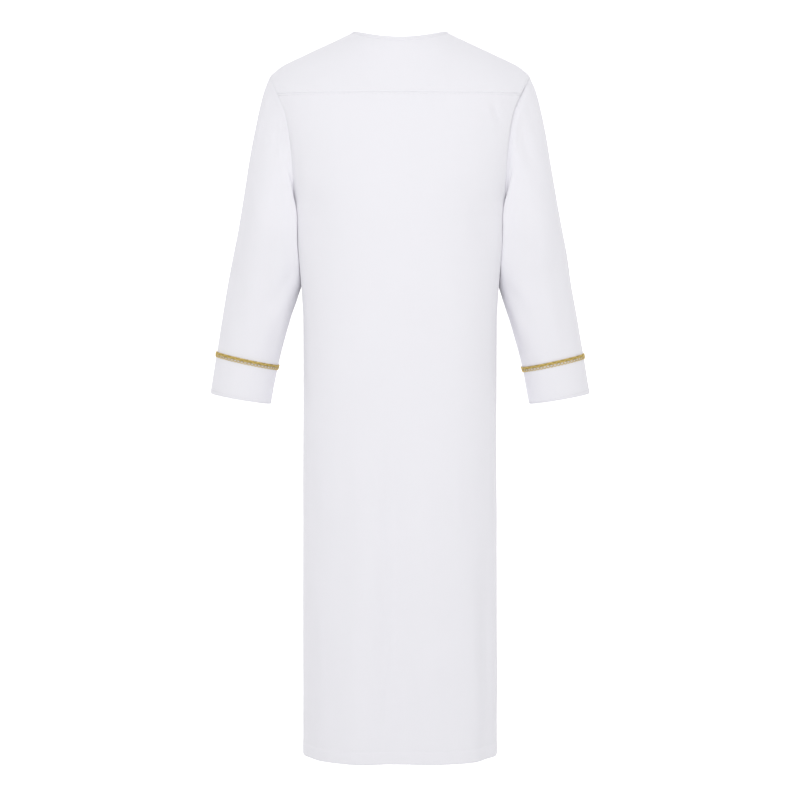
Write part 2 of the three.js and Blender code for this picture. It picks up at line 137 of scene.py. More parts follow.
def hermite(a: Array, leave: Array, b: Array, arrive: Array, t: Array) -> Array:
    """Cubic curve from a to b that leaves along one vector and arrives along the other.

    Args:
        a: Start points.
        leave: Vectors along which the curve leaves.
        b: End points.
        arrive: Vectors along which it arrives.
        t: Share of the way, with a last axis of length 1.

    Returns:
        The points: a(2t3 - 3t2 + 1) + leave(t3 - 2t2 + t) + b(3t2 - 2t3) + arrive(t3 - t2).
    """
    t2, t3 = t * t, t * t * t
    return a * (2 * t3 - 3 * t2 + 1) + leave * (t3 - 2 * t2 + t) + b * (3 * t2 - 2 * t3) + arrive * (t3 - t2)


def through(table: Array, at: Array) -> Array:
    """Reads a table between its rows, on cubics whose slopes are those from row before to row after.

    Args:
        table: Rows of a rising key, then values.
        at: The keys that are wanted.

    Returns:
        The values, in a new last axis.
    """
    keys, rows = table[:, 0], table[:, 1:]
    high = np.clip(np.searchsorted(keys, at), 1, len(keys) - 1)
    low = high - 1
    before, after = np.maximum(low - 1, 0), np.minimum(high + 1, len(keys) - 1)
    span = keys[high] - keys[low]
    start = (rows[high] - rows[before]) * (span / (keys[high] - keys[before]))[..., None]
    end = (rows[after] - rows[low]) * (span / (keys[after] - keys[low]))[..., None]
    return hermite(rows[low], start, rows[high], end, ((at - keys[low]) / span)[..., None])


def held_through(table: Array, at: Array) -> Array:
    """Reads a table of one value, which holds its first and its last value beyond its ends."""
    return through(table, np.clip(at, table[0, 0], table[-1, 0]))[..., 0]


def ring_way(points: Array) -> Array:
    """Unit vectors along a closed ring of points, each from the point before to the one after."""
    return unit(np.roll(points, -1, 0) - np.roll(points, 1, 0))


def normal_of(surface: Callable[[Array, Array], Array], u: Array, v: Array, step: float = 2e-4) -> Array:
    """Unit normals of a surface: the step along u crossed with the step along v."""
    across = surface(u + step, v) - surface(u - step, v)
    onward = surface(u, v + step) - surface(u, v - step)
    return unit(np.cross(across, onward))


def even_points(line: Array, count: int) -> Array:
    """Points spaced evenly by length along a line, its two ends included."""
    run = lengths_along(line)
    wanted = np.linspace(0, run[-1], count)
    return np.stack([np.interp(wanted, run, line[:, k]) for k in range(line.shape[1])], -1)


def soft_noise(u: Array, v: Array, size: float, seed: int, waves: int = 11, gain: float = 2.2) -> Array:
    """Smooth uneven waves: the mean of cosines with seeded directions, lengths and phases, times a gain.

    Args:
        u: Place along the cloth's width, in metres.
        v: Place along its length, in metres.
        size: Usual distance from crest to crest, in metres.
        seed: Which pattern of waves.
        waves: How many cosines.
        gain: What their mean is multiplied by.

    Returns:
        Heights, mostly from -1 to 1.
    """
    draw = np.random.default_rng(seed)
    turn = draw.uniform(0, 2 * math.pi, waves)
    wave = size * draw.uniform(0.7, 1.7, waves)
    phase = draw.uniform(0, 2 * math.pi, waves)
    along = np.asarray(u)[..., None] * np.cos(turn) + np.asarray(v)[..., None] * np.sin(turn)
    return np.cos(2 * math.pi * along / wave + phase).mean(-1) * gain


# ---- Meshes


@dataclass
class Skin:
    """An open surface of four-cornered faces before it gets its thickness.

    Attributes:
        points: Corners, N x 3.
        quads: Corner numbers of each face, anticlockwise from outside.
        uv: Place on the flat cloth of each corner.
        number: Rows x columns, the corner at each place of the grid it was made from.
    """

    points: Array
    quads: Array
    uv: Array
    number: Array | None = None

    def normals(self) -> Array:
        """Unit normals at the corners: the sum of the crossed diagonals of the faces around."""
        a, b, c, d = (self.points[self.quads[:, k]] for k in range(4))
        across = np.cross(c - a, d - b)
        total = np.zeros_like(self.points)
        for k in range(4):
            np.add.at(total, self.quads[:, k], across)
        return unit(total)

    def from_grid(self, values: Array) -> Array:
        """Values on the grid as one for each corner."""
        found = np.zeros((len(self.points),) + values.shape[2:])
        found[self.number.ravel()] = values.reshape((-1,) + values.shape[2:])
        return found

    def lifted(self, height: Array) -> "Skin":
        """The same surface with each corner moved out along its normal by its height on the grid."""
        points = self.points + self.normals() * self.from_grid(height)[:, None]
        return Skin(points, self.quads, self.uv, self.number)

    def closed(self, thickness: Array) -> "Skin":
        """A closed wall: this surface, one below it facing in, and a rim along each open edge.

        Args:
            thickness: Depth of the wall at each corner, in metres.

        Returns:
            The wall, its corners in the order outer, then inner.
        """
        count = len(self.points)
        inner = self.points - self.normals() * np.broadcast_to(thickness, (count,))[:, None]
        edges = np.stack([self.quads, np.roll(self.quads, -1, 1)], -1).reshape(-1, 2)
        keys = edges[:, 0] * count + edges[:, 1]
        open_edges = edges[~np.isin(keys, edges[:, 1] * count + edges[:, 0])]
        start, end = open_edges.T
        rim = np.stack([end, start, start + count, end + count], -1)
        return Skin(
            np.vstack([self.points, inner]),
            np.vstack([self.quads, self.quads[:, ::-1] + count, rim]),
            np.vstack([self.uv, self.uv]),
        )


def grid_skin(points: Array, uv: Array, outward: int, open_after: int | None = None) -> Skin:
    """Surface on a grid of points whose rows run down and whose columns run towards +X or round.

    Args:
        points: Rows x columns x 3.
        uv: Rows x columns x 2.
        outward: 1 where row by column turns the face outwards, -1 for the other way round.
        open_after: Column after which no faces are made, as at a slit; corners that fall on one
            place on its two sides are joined.

    Returns:
        The surface, with corners at one place made one.
    """
    rows, columns = points.shape[:2]
    number = np.arange(rows * columns).reshape(rows, columns)
    quads = np.stack([number[:-1, :-1], number[1:, :-1], number[1:, 1:], number[:-1, 1:]], -1)
    if open_after is not None:
        quads = np.delete(quads, open_after, axis=1)
    quads = quads.reshape(-1, 4)[:, ::outward]
    flat = points.reshape(-1, 3)
    places = np.round(flat / SAME_PLACE).astype(np.int64)
    _, first, same = np.unique(places, axis=0, return_index=True, return_inverse=True)
    same = same.reshape(-1)
    return Skin(flat[first], same[quads], uv.reshape(-1, 2)[first], same.reshape(rows, columns))


def mesh_object(
    name: str, skin: Skin, finish: bpy.types.Material, tint: Array | None = None
) -> bpy.types.Object:
    """Puts a surface into the scene as a smooth mesh.

    Args:
        name: The piece's name.
        skin: Its faces, with their places on the flat cloth as the UV map.
        finish: Its material.
        tint: A value for each corner, kept as the attribute "tint".

    Returns:
        The object, at the origin.
    """
    mesh = bpy.data.meshes.new(name)
    mesh.from_pydata(skin.points.tolist(), [], skin.quads.tolist())
    layer = mesh.uv_layers.new(name="cloth")
    corners = np.empty(len(mesh.loops), dtype=np.int32)
    mesh.loops.foreach_get("vertex_index", corners)
    layer.data.foreach_set("uv", skin.uv[corners].astype(np.float32).ravel())
    if tint is not None:
        values = mesh.attributes.new("tint", "FLOAT", "POINT")
        values.data.foreach_set("value", np.asarray(tint, dtype=np.float32))
    mesh.polygons.foreach_set("use_smooth", np.ones(len(mesh.polygons), dtype=bool))
    mesh.materials.append(finish)
    mesh.update()
    made = bpy.data.objects.new(name, mesh)
    bpy.context.scene.collection.objects.link(made)
    return made


def end_cap(ring: Array) -> Array:
    """Faces that close a ring with an even number of corners, as a strip across it."""
    half = len(ring) // 2
    k = np.arange(half - 1)
    return np.stack([ring[k], ring[k + 1], ring[len(ring) - 2 - k], ring[len(ring) - 1 - k]], -1)


def ring_quads(rings: int, around: int, closed: bool) -> Array:
    """Faces from ring to ring, the last joined to the first, or both of them closed with strips."""
    number = np.arange(rings * around).reshape(rings, around)
    after = np.roll(number, -1, 0) if closed else number[1:]
    here = number if closed else number[:-1]
    quads = np.stack([here, after, np.roll(after, -1, 1), np.roll(here, -1, 1)], -1).reshape(-1, 4)
    if closed:
        return quads
    return np.vstack([quads, end_cap(number[0]), end_cap(number[-1])[:, ::-1]])


def tube(
    path: Array, side: Array, out: Array, sizes: tuple[Array, Array], around: int, closed: bool = True
) -> Skin:
    """Tube of oval section carried along a path.

    Args:
        path: Points of its centre line.
        side: Unit vectors across it on the cloth.
        out: Unit vectors out of the cloth.
        sizes: Half its width and half its depth, each one number or one for each point.
        around: Corners of each section, an even number.
        closed: Whether the last point is joined to the first; if not, both ends are capped.

    Returns:
        The surface: centre + half width cos(a) side + half depth sin(a) out.
    """
    width, depth = (np.broadcast_to(size, (len(path),))[:, None, None] for size in sizes)
    a = np.linspace(0, 2 * math.pi, around, endpoint=False)[:, None]
    points = path[:, None] + width * np.cos(a) * side[:, None] + depth * np.sin(a) * out[:, None]
    uv = np.stack(np.broadcast_arrays(a.T / (2 * math.pi), lengths_along(path)[:, None]), -1)
    return facing_out(Skin(points.reshape(-1, 3), ring_quads(len(path), around, closed), uv.reshape(-1, 2)))


def facing_out(skin: Skin) -> Skin:
    """The same closed surface, its faces turned if the volume that they enclose counts below zero."""
    a, b, c, d = (skin.points[skin.quads[:, k]] for k in range(4))
    volume = (np.cross(a, b) * c).sum() + (np.cross(a, c) * d).sum()
    return skin if volume > 0 else Skin(skin.points, skin.quads[:, ::-1], skin.uv, skin.number)


def joined(skins: Sequence[Skin]) -> Skin:
    """Several surfaces as one mesh."""
    starts = np.cumsum([0] + [len(s.points) for s in skins[:-1]])
    return Skin(
        np.vstack([s.points for s in skins]),
        np.vstack([s.quads + start for s, start in zip(skins, starts)]),
        np.vstack([s.uv for s in skins]),
    )


# ---- Folds, creases and seams


@dataclass(frozen=True)
class Crease:
    """A soft trough, or a ridge where its depth is below zero, on a piece of cloth.

    Attributes:
        start: Where it begins: across from the middle of the piece, and height.
        end: Where it ends.
        width: Half width of the trough.
        depth: How deep it is.
        bow: How far its middle stands to the side of the straight line, to the left of its way.
        fade: Share of its length over which each end fades out.
        ridge: Height of the ridge on each side, as a share of the depth.
    """

    start: tuple[float, float]
    end: tuple[float, float]
    width: float
    depth: float
    bow: float = 0.0
    fade: float = 0.35
    ridge: float = 0.33

    def height(self, across: Array, z: Array) -> Array:
        """Height of the cloth over its plain form.

        With t the share along the straight line and d the distance from it less bow 4t(1 - t), it
        is minus depth times the bell of d, less a share of the same bell two widths to each side,
        times an eased fade at both ends.
        """
        start, end = np.array(self.start), np.array(self.end)
        length = np.hypot(*(end - start))
        along = (end - start) / length
        right, down = across - start[0], z - start[1]
        t = (right * along[0] + down * along[1]) / length
        d = right * -along[1] + down * along[0] - self.bow * 4 * t * (1 - t)
        beside = gauss(d - 2 * self.width, self.width) + gauss(d + 2 * self.width, self.width)
        bell = gauss(d, self.width) - self.ridge * beside
        ends = smooth_step(t / self.fade) * smooth_step((1 - t) / self.fade)
        return -self.depth * bell * ends


def crease_rows(*rows: tuple[float, ...]) -> tuple[Crease, ...]:
    """Creases from rows: across and height of the start and of the end, width, depth, bow, fade."""
    return tuple(Crease(row[:2], row[2:4], *row[4:]) for row in rows)


def creased(creases: Sequence[Crease], across: Array, z: Array) -> Array:
    """Heights of all of a piece's creases together."""
    return sum((crease.height(across, z) for crease in creases), np.zeros_like(z))


@dataclass(frozen=True)
class Seam:
    """How cloth lies beside a sewn edge: it rolls in at the edge, swells beside it and puckers.

    Attributes:
        roll: How far the edge itself is drawn in.
        wave: Usual distance from pucker to pucker.
        reach: How far they reach into the cloth.
    """

    roll: float = 0.0002
    roll_width: float = 0.0014
    swell: float = 0.0003
    swell_at: float = 0.0050
    pucker: float = 0.0002
    wave: float = 0.015
    reach: float = 0.011

    def height(self, distance: Array, along: Array, seed: int) -> Array:
        """Height beside the seam.

        Minus roll times the bell of the distance, plus swell times the bell about its crest, plus
        pucker times uneven waves along the seam that die away by e at the reach.
        """
        waves = soft_noise(along, distance * 0.2, self.wave, seed)
        return (
            -self.roll * gauss(distance, self.roll_width)
            + self.swell * gauss(distance - self.swell_at, self.swell_at * 0.55)
            + self.pucker * waves * np.exp(-distance / self.reach) * (1 - gauss(distance, self.roll_width))
        )


@dataclass(frozen=True)
class Valley:
    """A soft valley that follows an armhole seam, where the sleeve turns in towards the body.

    Attributes:
        depth: How deep it is at the seam.
        on_body: Half width on the body's side of the seam.
        on_sleeve: Half width on the sleeve's side.
        fade_out: Length over which it dies away.
        crest: Height of the slight ridge on the body beside it.
    """

    depth: float
    on_body: float
    on_sleeve: float
    top: float
    bottom: float
    fade: float = 0.06
    fade_out: float = 0.08
    crest: float = 0.0003

    def height(self, distance: Array, z: Array, body: bool) -> Array:
        """Minus depth times the bell of the distance, plus the body's ridge, grown and faded by height."""
        width = self.on_body if body else self.on_sleeve
        ridge = self.crest * gauss(distance - 2.2 * width, width) if body else 0.0
        grown = smooth_step((self.top - z) / self.fade) * smooth_step((z - self.bottom) / self.fade_out)
        return (ridge - self.depth * gauss(distance, width)) * grown


# the valleys that show from behind, and those that show from in front
BACK_VALLEYS = {
    Side.LEFT: Valley(0.0008, 0.0060, 0.0130, top=-0.135, bottom=-0.34),
    Side.RIGHT: Valley(0.0046, 0.0042, 0.0090, top=-0.080, bottom=-0.345, fade=0.03, fade_out=0.12),
}
FRONT_VALLEYS = {
    Side.LEFT: Valley(0.0018, 0.0036, 0.0090, top=-0.100, bottom=-0.40),
    Side.RIGHT: Valley(0.0012, 0.0045, 0.0100, top=-0.120, bottom=-0.40),
}


def body_valleys(valleys: dict[Side, Valley], to_side: Array, across: Array, z: Array) -> Array:
    """The valleys' heights on a panel of the body, each beside its own armhole."""
    left, right = (valleys[side].height(to_side, z, True) for side in Side)
    return np.where(across > 0, left, right)


def distinct(*lines: Sequence[float]) -> Array:
    """Several lists of places as one, in rising order, each place once."""
    return np.unique(np.round(np.concatenate(lines), LINE_DIGITS))


def spaced(
    low: float, high: float, cells: int, near_low: Sequence[float] = (), near_high: Sequence[float] = ()
) -> Array:
    """Even steps from low to high, with more lines at given distances from either end.

    Args:
        low: The first place.
        high: The last place, which may be the smaller one.
        cells: How many even steps.
        near_low: Distances of more lines from the first place; the even steps keep clear of them.
        near_high: Distances of more lines from the last place.

    Returns:
        The places, from the first to the last.
    """
    clear = 1.4
    sign = math.copysign(1.0, high - low)
    inner_low = low + sign * clear * max(near_low, default=0.0)
    inner_high = high - sign * clear * max(near_high, default=0.0)
    lines = distinct(
        [low, high],
        [low + sign * d for d in near_low],
        [high - sign * d for d in near_high],
        np.linspace(inner_low, inner_high, cells + 1),
    )
    return lines if sign > 0 else lines[::-1]


# ---- The garment's form

NEAR_SEAM = (0.0008, 0.0017, 0.0028, 0.0042, 0.006, 0.0085)  # lines of corners beside a seam, in metres


def near_seam(length: float) -> list[float]:
    """The lines beside a seam as shares of a length."""
    return [d / length for d in NEAR_SEAM]


@dataclass(frozen=True)
class RobeForm:
    """The filled-out robe: its driving sizes, and the points of its body, neck and shoulders.

    Attributes:
        neck_depth: How far the neck edge stands behind and before the neck points: back, front.
        neck_drop: How far it lies below them, in the middle: back, front.
        neck_rise: Slope of the cloth there: back, front.
        turn_over: Share by which the cloth turns over to the other face at the neck point.
        shoulder_slope: Fall of the shoulder line for its length across.
        round_from: Distance from the middle at which the shoulder begins to round off.
        chest_line: Height at which the front's level rows begin.
        armhole_reach: How far the armhole reaches from the side: back, front.
        armhole_corner: Squareness of its oval.
        slit_half_open: Half the slit's width at the neck.
        slit_closing: Power by which it narrows down to its foot.
        neck_share: Share of a panel's columns that end at the neck.
        turned_by: Share at which the cloth has wholly turned over.
        corner_spread: Share over which the corner at the neck point is spread out.
        fill_share: Share of the half width beside the side that is filled out.
    """

    length: float = 1.392
    neck_half: float = 0.087
    neck_depth: tuple[float, float] = (0.062, 0.080)
    neck_drop: tuple[float, float] = (0.015, 0.096)
    neck_rise: tuple[float, float] = (62 * DEGREE, 52 * DEGREE)
    turn_over: float = 0.55
    binding_width: float = 0.007
    shoulder_half: float = 0.249
    shoulder_slope: float = 0.463
    round_from: float = 0.215
    round_drop: float = 0.0095
    yoke_seam: float = -0.119
    chest_line: float = -0.152
    armhole_bottom: float = -0.352
    armhole_reach: tuple[float, float] = (0.056, 0.060)
    armhole_corner: float = 2.3
    slit_bottom: float = -0.262
    slit_half_open: float = 0.006
    slit_closing: float = 0.8
    neck_share: float = 0.31
    turned_by: float = 0.85
    corner_spread: float = 0.16
    fill_share: float = 0.05
    swell_share: float = 0.72
    column_ease: float = 1.35

    # height, half width, depth of the back, depth of the front, squareness of the corners
    SECTIONS = np.array([
        (-1.440, 0.1900, 0.134, 0.136, 2.90),
        (-1.180, 0.1890, 0.131, 0.133, 2.75),
        (-0.900, 0.1880, 0.127, 0.130, 2.60),
        (-0.640, 0.1870, 0.121, 0.129, 2.50),
        (-0.420, 0.1870, 0.122, 0.131, 2.45),
        (-0.360, 0.1885, 0.123, 0.131, 2.40),
        (-0.335, 0.1980, 0.123, 0.131, 2.35),
        (-0.285, 0.2160, 0.123, 0.128, 2.30),
        (-0.215, 0.2290, 0.118, 0.118, 2.25),
        (-0.160, 0.2410, 0.109, 0.104, 2.20),
        (-0.114, 0.2530, 0.097, 0.082, 2.20),
        (-0.060, 0.2620, 0.070, 0.052, 2.20),
    ])
    # height, how far the side swells there
    SIDE_BULGE = np.array([
        (-0.540, -0.0010), (-0.460, 0.0036), (-0.420, 0.0068), (-0.380, 0.0108),
        (-0.360, 0.0112), (-0.340, 0.0074), (-0.320, 0.0022), (-0.290, 0.0),
    ])
    # height, how far the corner beside the side is filled out there
    CORNER_FILL = np.array([
        (-1.440, 0.0045), (-0.900, 0.0045), (-0.520, 0.0048), (-0.400, 0.0066),
        (-0.352, 0.0056), (-0.325, 0.0034), (-0.290, 0.0006), (-0.270, 0.0),
    ])
    # where round the body in degrees, spread in degrees, relief at the hem, height where it begins
    FOLDS = np.array([
        (88, 7, -0.007, -0.64),
        (73, 11, 0.004, -0.70),
        (103, 11, 0.003, -0.76),
        (128, 12, 0.003, -0.82),
        (27, 10, -0.004, -0.90),
        (147, 9, -0.005, -0.88),
        (204, 11, -0.004, -0.86),
        (231, 12, 0.005, -0.56),
        (256, 10, -0.007, -0.62),
        (284, 11, 0.005, -0.70),
        (309, 12, -0.006, -0.60),
        (336, 10, 0.003, -0.94),
    ])

    @property
    def hem(self) -> float:
        """Height of the hem."""
        return -self.length

    @property
    def armhole_top(self) -> float:
        """Height of the shoulder point."""
        return -float(self.shoulder_drop(np.array(self.shoulder_half)))

    @property
    def armhole_middle(self) -> float:
        """Height of the middle of the armhole."""
        return (self.armhole_top + self.armhole_bottom) / 2

    @property
    def armhole_rise(self) -> float:
        """Half the armhole's height."""
        return (self.armhole_top - self.armhole_bottom) / 2

    def fold_relief(self, angle: Array, z: Array) -> Array:
        """Sum over the folds of relief, grown from its top to the hem, times the bell of the angle."""
        at, spread, relief, top = self.FOLDS.T
        turn = (np.asarray(angle)[..., None] / DEGREE - at + 540) % 360 - 180
        grown = smooth_step((top - np.asarray(z)[..., None]) / (top + self.length))
        return (relief * grown * np.exp(-((turn / spread) ** 2))).sum(-1)

    def section(self, z: Array) -> tuple[Array, Array, Array, Array]:
        """Half width, depth of the back, depth of the front, and squareness at each height."""
        return tuple(np.moveaxis(through(self.SECTIONS, z), -1, 0))

    def body(self, angle: Array, z: Array) -> Array:
        """Points of the body: x and y are powers 2/corner of cosine and sine, times width and depth."""
        width, back, front, corner = self.section(z)
        sine, cosine = np.sin(angle), np.cos(angle)
        x = width * signed_power(cosine, 2 / corner)
        y = np.where(sine >= 0, back, front) * signed_power(sine, 2 / corner)
        swell = 1 + self.fold_relief(angle, z) / np.hypot(x, y)
        return np.stack(np.broadcast_arrays(x * swell, y * swell, z), -1)

    def side_moved(self, share: Array, z: Array) -> Array:
        """How far a point at a share of the half width moves outwards.

        The side swells under the arm, where the sleeve bears on it, and the swelling is eased in
        over the outer part of the width. The fill is its table's value times s * exp(1 - s), with s
        the distance from the side over the fill's share.
        """
        away = np.maximum(0, 1 - share) / self.fill_share
        fill = held_through(self.CORNER_FILL, z) * away * np.exp(1 - away)
        eased = smooth_step((share - self.swell_share) / (1 - self.swell_share))
        return held_through(self.SIDE_BULGE, z) * eased + fill

    def bulged(self, points: Array) -> Array:
        """Points of the body with their X moved outwards beside the sides."""
        x, z = points[..., 0], points[..., 2]
        width, *_ = self.section(z)
        moved = np.sign(x) * self.side_moved(np.abs(x) / width, z)
        return points + moved[..., None] * np.array([1.0, 0.0, 0.0])

    def shoulder_drop(self, x: Array) -> Array:
        """How far the shoulder line has fallen at a distance from the middle."""
        rounding = np.maximum(0, x - self.round_from) / (self.shoulder_half - self.round_from)
        return self.shoulder_slope * (x - self.neck_half) + self.round_drop * rounding**2

    def armhole_height(self, turn: Array) -> Array:
        """Height on the armhole's oval, from its top at turn 0 to its bottom at turn 1."""
        return self.armhole_middle + self.armhole_rise * np.cos(math.pi * turn)

    def armhole_turn(self, z: float) -> float:
        """Turn on the armhole's oval at a height."""
        return math.acos((z - self.armhole_middle) / self.armhole_rise) / math.pi

    def edge_angle(self, face: Face, z: Array) -> Array:
        """Angle from the middle of a face to the panel's edge, at the armhole or the side seam."""
        _, back, front, corner = self.section(z)
        rise = np.minimum(1, np.abs(z - self.armhole_middle) / self.armhole_rise)
        bulge = (1 - rise**self.armhole_corner) ** (1 / self.armhole_corner)
        y = face.pick(self.armhole_reach) * bulge
        edge = math.pi / 2 - np.arcsin((y / face.pick((back, front))) ** (corner / 2))
        return np.where(z <= self.armhole_bottom, math.pi / 2, edge)

    def slit_angle(self, z: Array) -> Array:
        """Angle from the middle of the front at which the neck slit's edge lies."""
        width, _, _, corner = self.section(z)
        foot = -self.neck_drop[1] - self.slit_bottom
        risen = np.maximum(0, (z - self.slit_bottom) / foot)
        return np.arcsin((self.slit_half_open * risen**self.slit_closing / width) ** (corner / 2))

    def angle(self, face: Face, turn: Array) -> Array:
        """Angle round the body at a turn from the middle of a face towards the wearer's left."""
        return math.pi / 2 - turn if face is Face.BACK else math.pi * 1.5 + turn

    def level(self, face: Face, share: Array, z: Array) -> Array:
        """Point of a level row: share 0 at the middle, 1 at the edge on the wearer's left, -1 right."""
        side, size = np.where(np.signbit(share), -1.0, 1.0), np.abs(share)
        inner = self.slit_angle(z) if face is Face.FRONT else 0.0
        turn = side * mix(inner, self.edge_angle(face, z), size)
        return self.body(self.angle(face, turn), z)

    def neck_edge(self, face: Face, side: Array, turn: Array) -> tuple[Array, Array]:
        """Neck edge at a turn from the middle (0) to the neck point (a quarter), and its upward slope."""
        depth, drop, middle = map(face.pick, (self.neck_depth, self.neck_drop, self.neck_rise))
        out, ahead = np.sin(turn), np.cos(turn)
        level = mix(middle, math.atan(self.shoulder_slope), out**2)
        edge = np.stack([side * self.neck_half * out, face.value * depth * ahead, -drop * ahead**2], -1)
        rise = np.stack([-side * out * np.cos(level), -face.value * ahead * np.cos(level), np.sin(level)], -1)
        return edge, unit(rise)

    def neck_seam(self, face: Face, side: Array, turn: Array) -> Array:
        """Where the binding is sewn on: its width down from the neck edge."""
        edge, rise = self.neck_edge(face, side, turn)
        return edge - rise * self.binding_width

    def neck_turn(self, face: Face, share: Array) -> Array:
        """Turn at a share of the way from the middle, or the slit's edge, to the neck point."""
        slit = math.asin(self.slit_half_open / self.neck_half) if face is Face.FRONT else 0.0
        return mix(slit, math.pi / 2, share)

    def top_edge(self, face: Face, side: Array, share: Array) -> tuple[Array, Array]:
        """Upper edge of the yoke or front at shares from 0 to 1, and the way the cloth arrives there."""
        over = np.broadcast_to([0.0, -face.value, 0.0], share.shape + (3,))
        along = np.clip(share / self.neck_share, 0, 1)
        turn = self.neck_turn(face, along)
        _, rise = self.neck_edge(face, side, turn)
        past = smooth_step((share - self.neck_share) / (self.turned_by - self.neck_share))
        turned = mix(self.turn_over * along**3, 1.0, past)
        arrive = unit(mix(rise, over, turned[..., None]))
        neck = self.neck_seam(face, side, turn)
        start = np.abs(self.neck_seam(face, np.array(1.0), np.array(math.pi / 2))[0])
        x = mix(start, self.shoulder_half, np.maximum(0, share - self.neck_share) / (1 - self.neck_share))
        shoulder = np.stack(np.broadcast_arrays(side * x, 0.0, -self.shoulder_drop(x)), -1)
        inside = (share <= self.neck_share)[..., None]
        return np.where(inside, neck, shoulder), arrive

    def crest(self, face: Face, base: float, share: Array, t: Array) -> Array:
        """Point between a level row (t 0) and the upper edge (t 1), on a cubic that leaves it smoothly."""
        foot = self.level(face, share, np.full_like(share, base))
        leave = unit(self.level(face, share, np.full_like(share, base + MM)) - foot)
        point, arrive = self.top_edge(face, np.where(np.signbit(share), -1.0, 1.0), np.abs(share))
        reach = np.linalg.norm(point - foot, axis=-1, keepdims=True)
        return hermite(foot, leave * reach, point, arrive * reach, t[..., None])

    def smooth_crest(self, face: Face, base: float, share: Array, t: Array) -> Array:
        """The crest with the corner at the neck point spread out sideways below the upper edge.

        It is the mean of the crest at nine shares to the left and right, weighed by a bell, whose
        spread is 4t(1 - t) of its whole, and none at the panel's edges. On the front it also closes
        up towards the slit, so that nothing is carried across it.
        """
        offsets = np.linspace(-1, 1, 9)
        weights = gauss(offsets, 0.6)
        inside = np.clip((1 - np.abs(share)) / 0.2, 0, 1)
        room = self.corner_spread * np.clip(4 * t * (1 - t), 0, 1) * inside
        moved = [share + o * room for o in offsets]
        if face is Face.FRONT:
            beside = np.clip(np.abs(share) / (2 * self.corner_spread), 0, 1)
            moved = [np.copysign(np.abs(share + o * room * beside), share) for o in offsets]
        return sum(w * self.crest(face, base, m, t) for m, w in zip(moved, weights)) / weights.sum()

    def eased(self, u: Array) -> Array:
        """u to a power over that plus (1 - u) to the power: evens out a rounded square's own spacing."""
        power = self.column_ease
        return u**power / (u**power + (1 - u) ** power)

    def half_shares(
        self, neck_cells: int, cells: int, edge: Sequence[float], middle: Sequence[float] = ()
    ) -> Array:
        """Shares of the columns from the middle to the edge, with one exactly at the neck point.

        Args:
            neck_cells: Cells from the middle to the neck point.
            cells: Cells from there to the edge.
            edge: Distances of more columns from the edge, as shares.
            middle: Shares of more columns near the middle.

        Returns:
            The eased shares, from 0 to 1.
        """
        u = np.linspace(0, 1, 4001)
        neck_u = np.interp(self.neck_share, self.eased(u), u)
        near_edge = 1 - np.array(edge)
        outer = self.eased(np.linspace(neck_u, 1, cells + 1)[1:])
        outer = outer[outer < near_edge.min() - 0.006]
        inner = self.eased(np.linspace(0, neck_u, neck_cells + 1))
        inner[-1] = self.neck_share
        return np.unique(np.concatenate([inner, middle, outer, near_edge, [1.0]]))


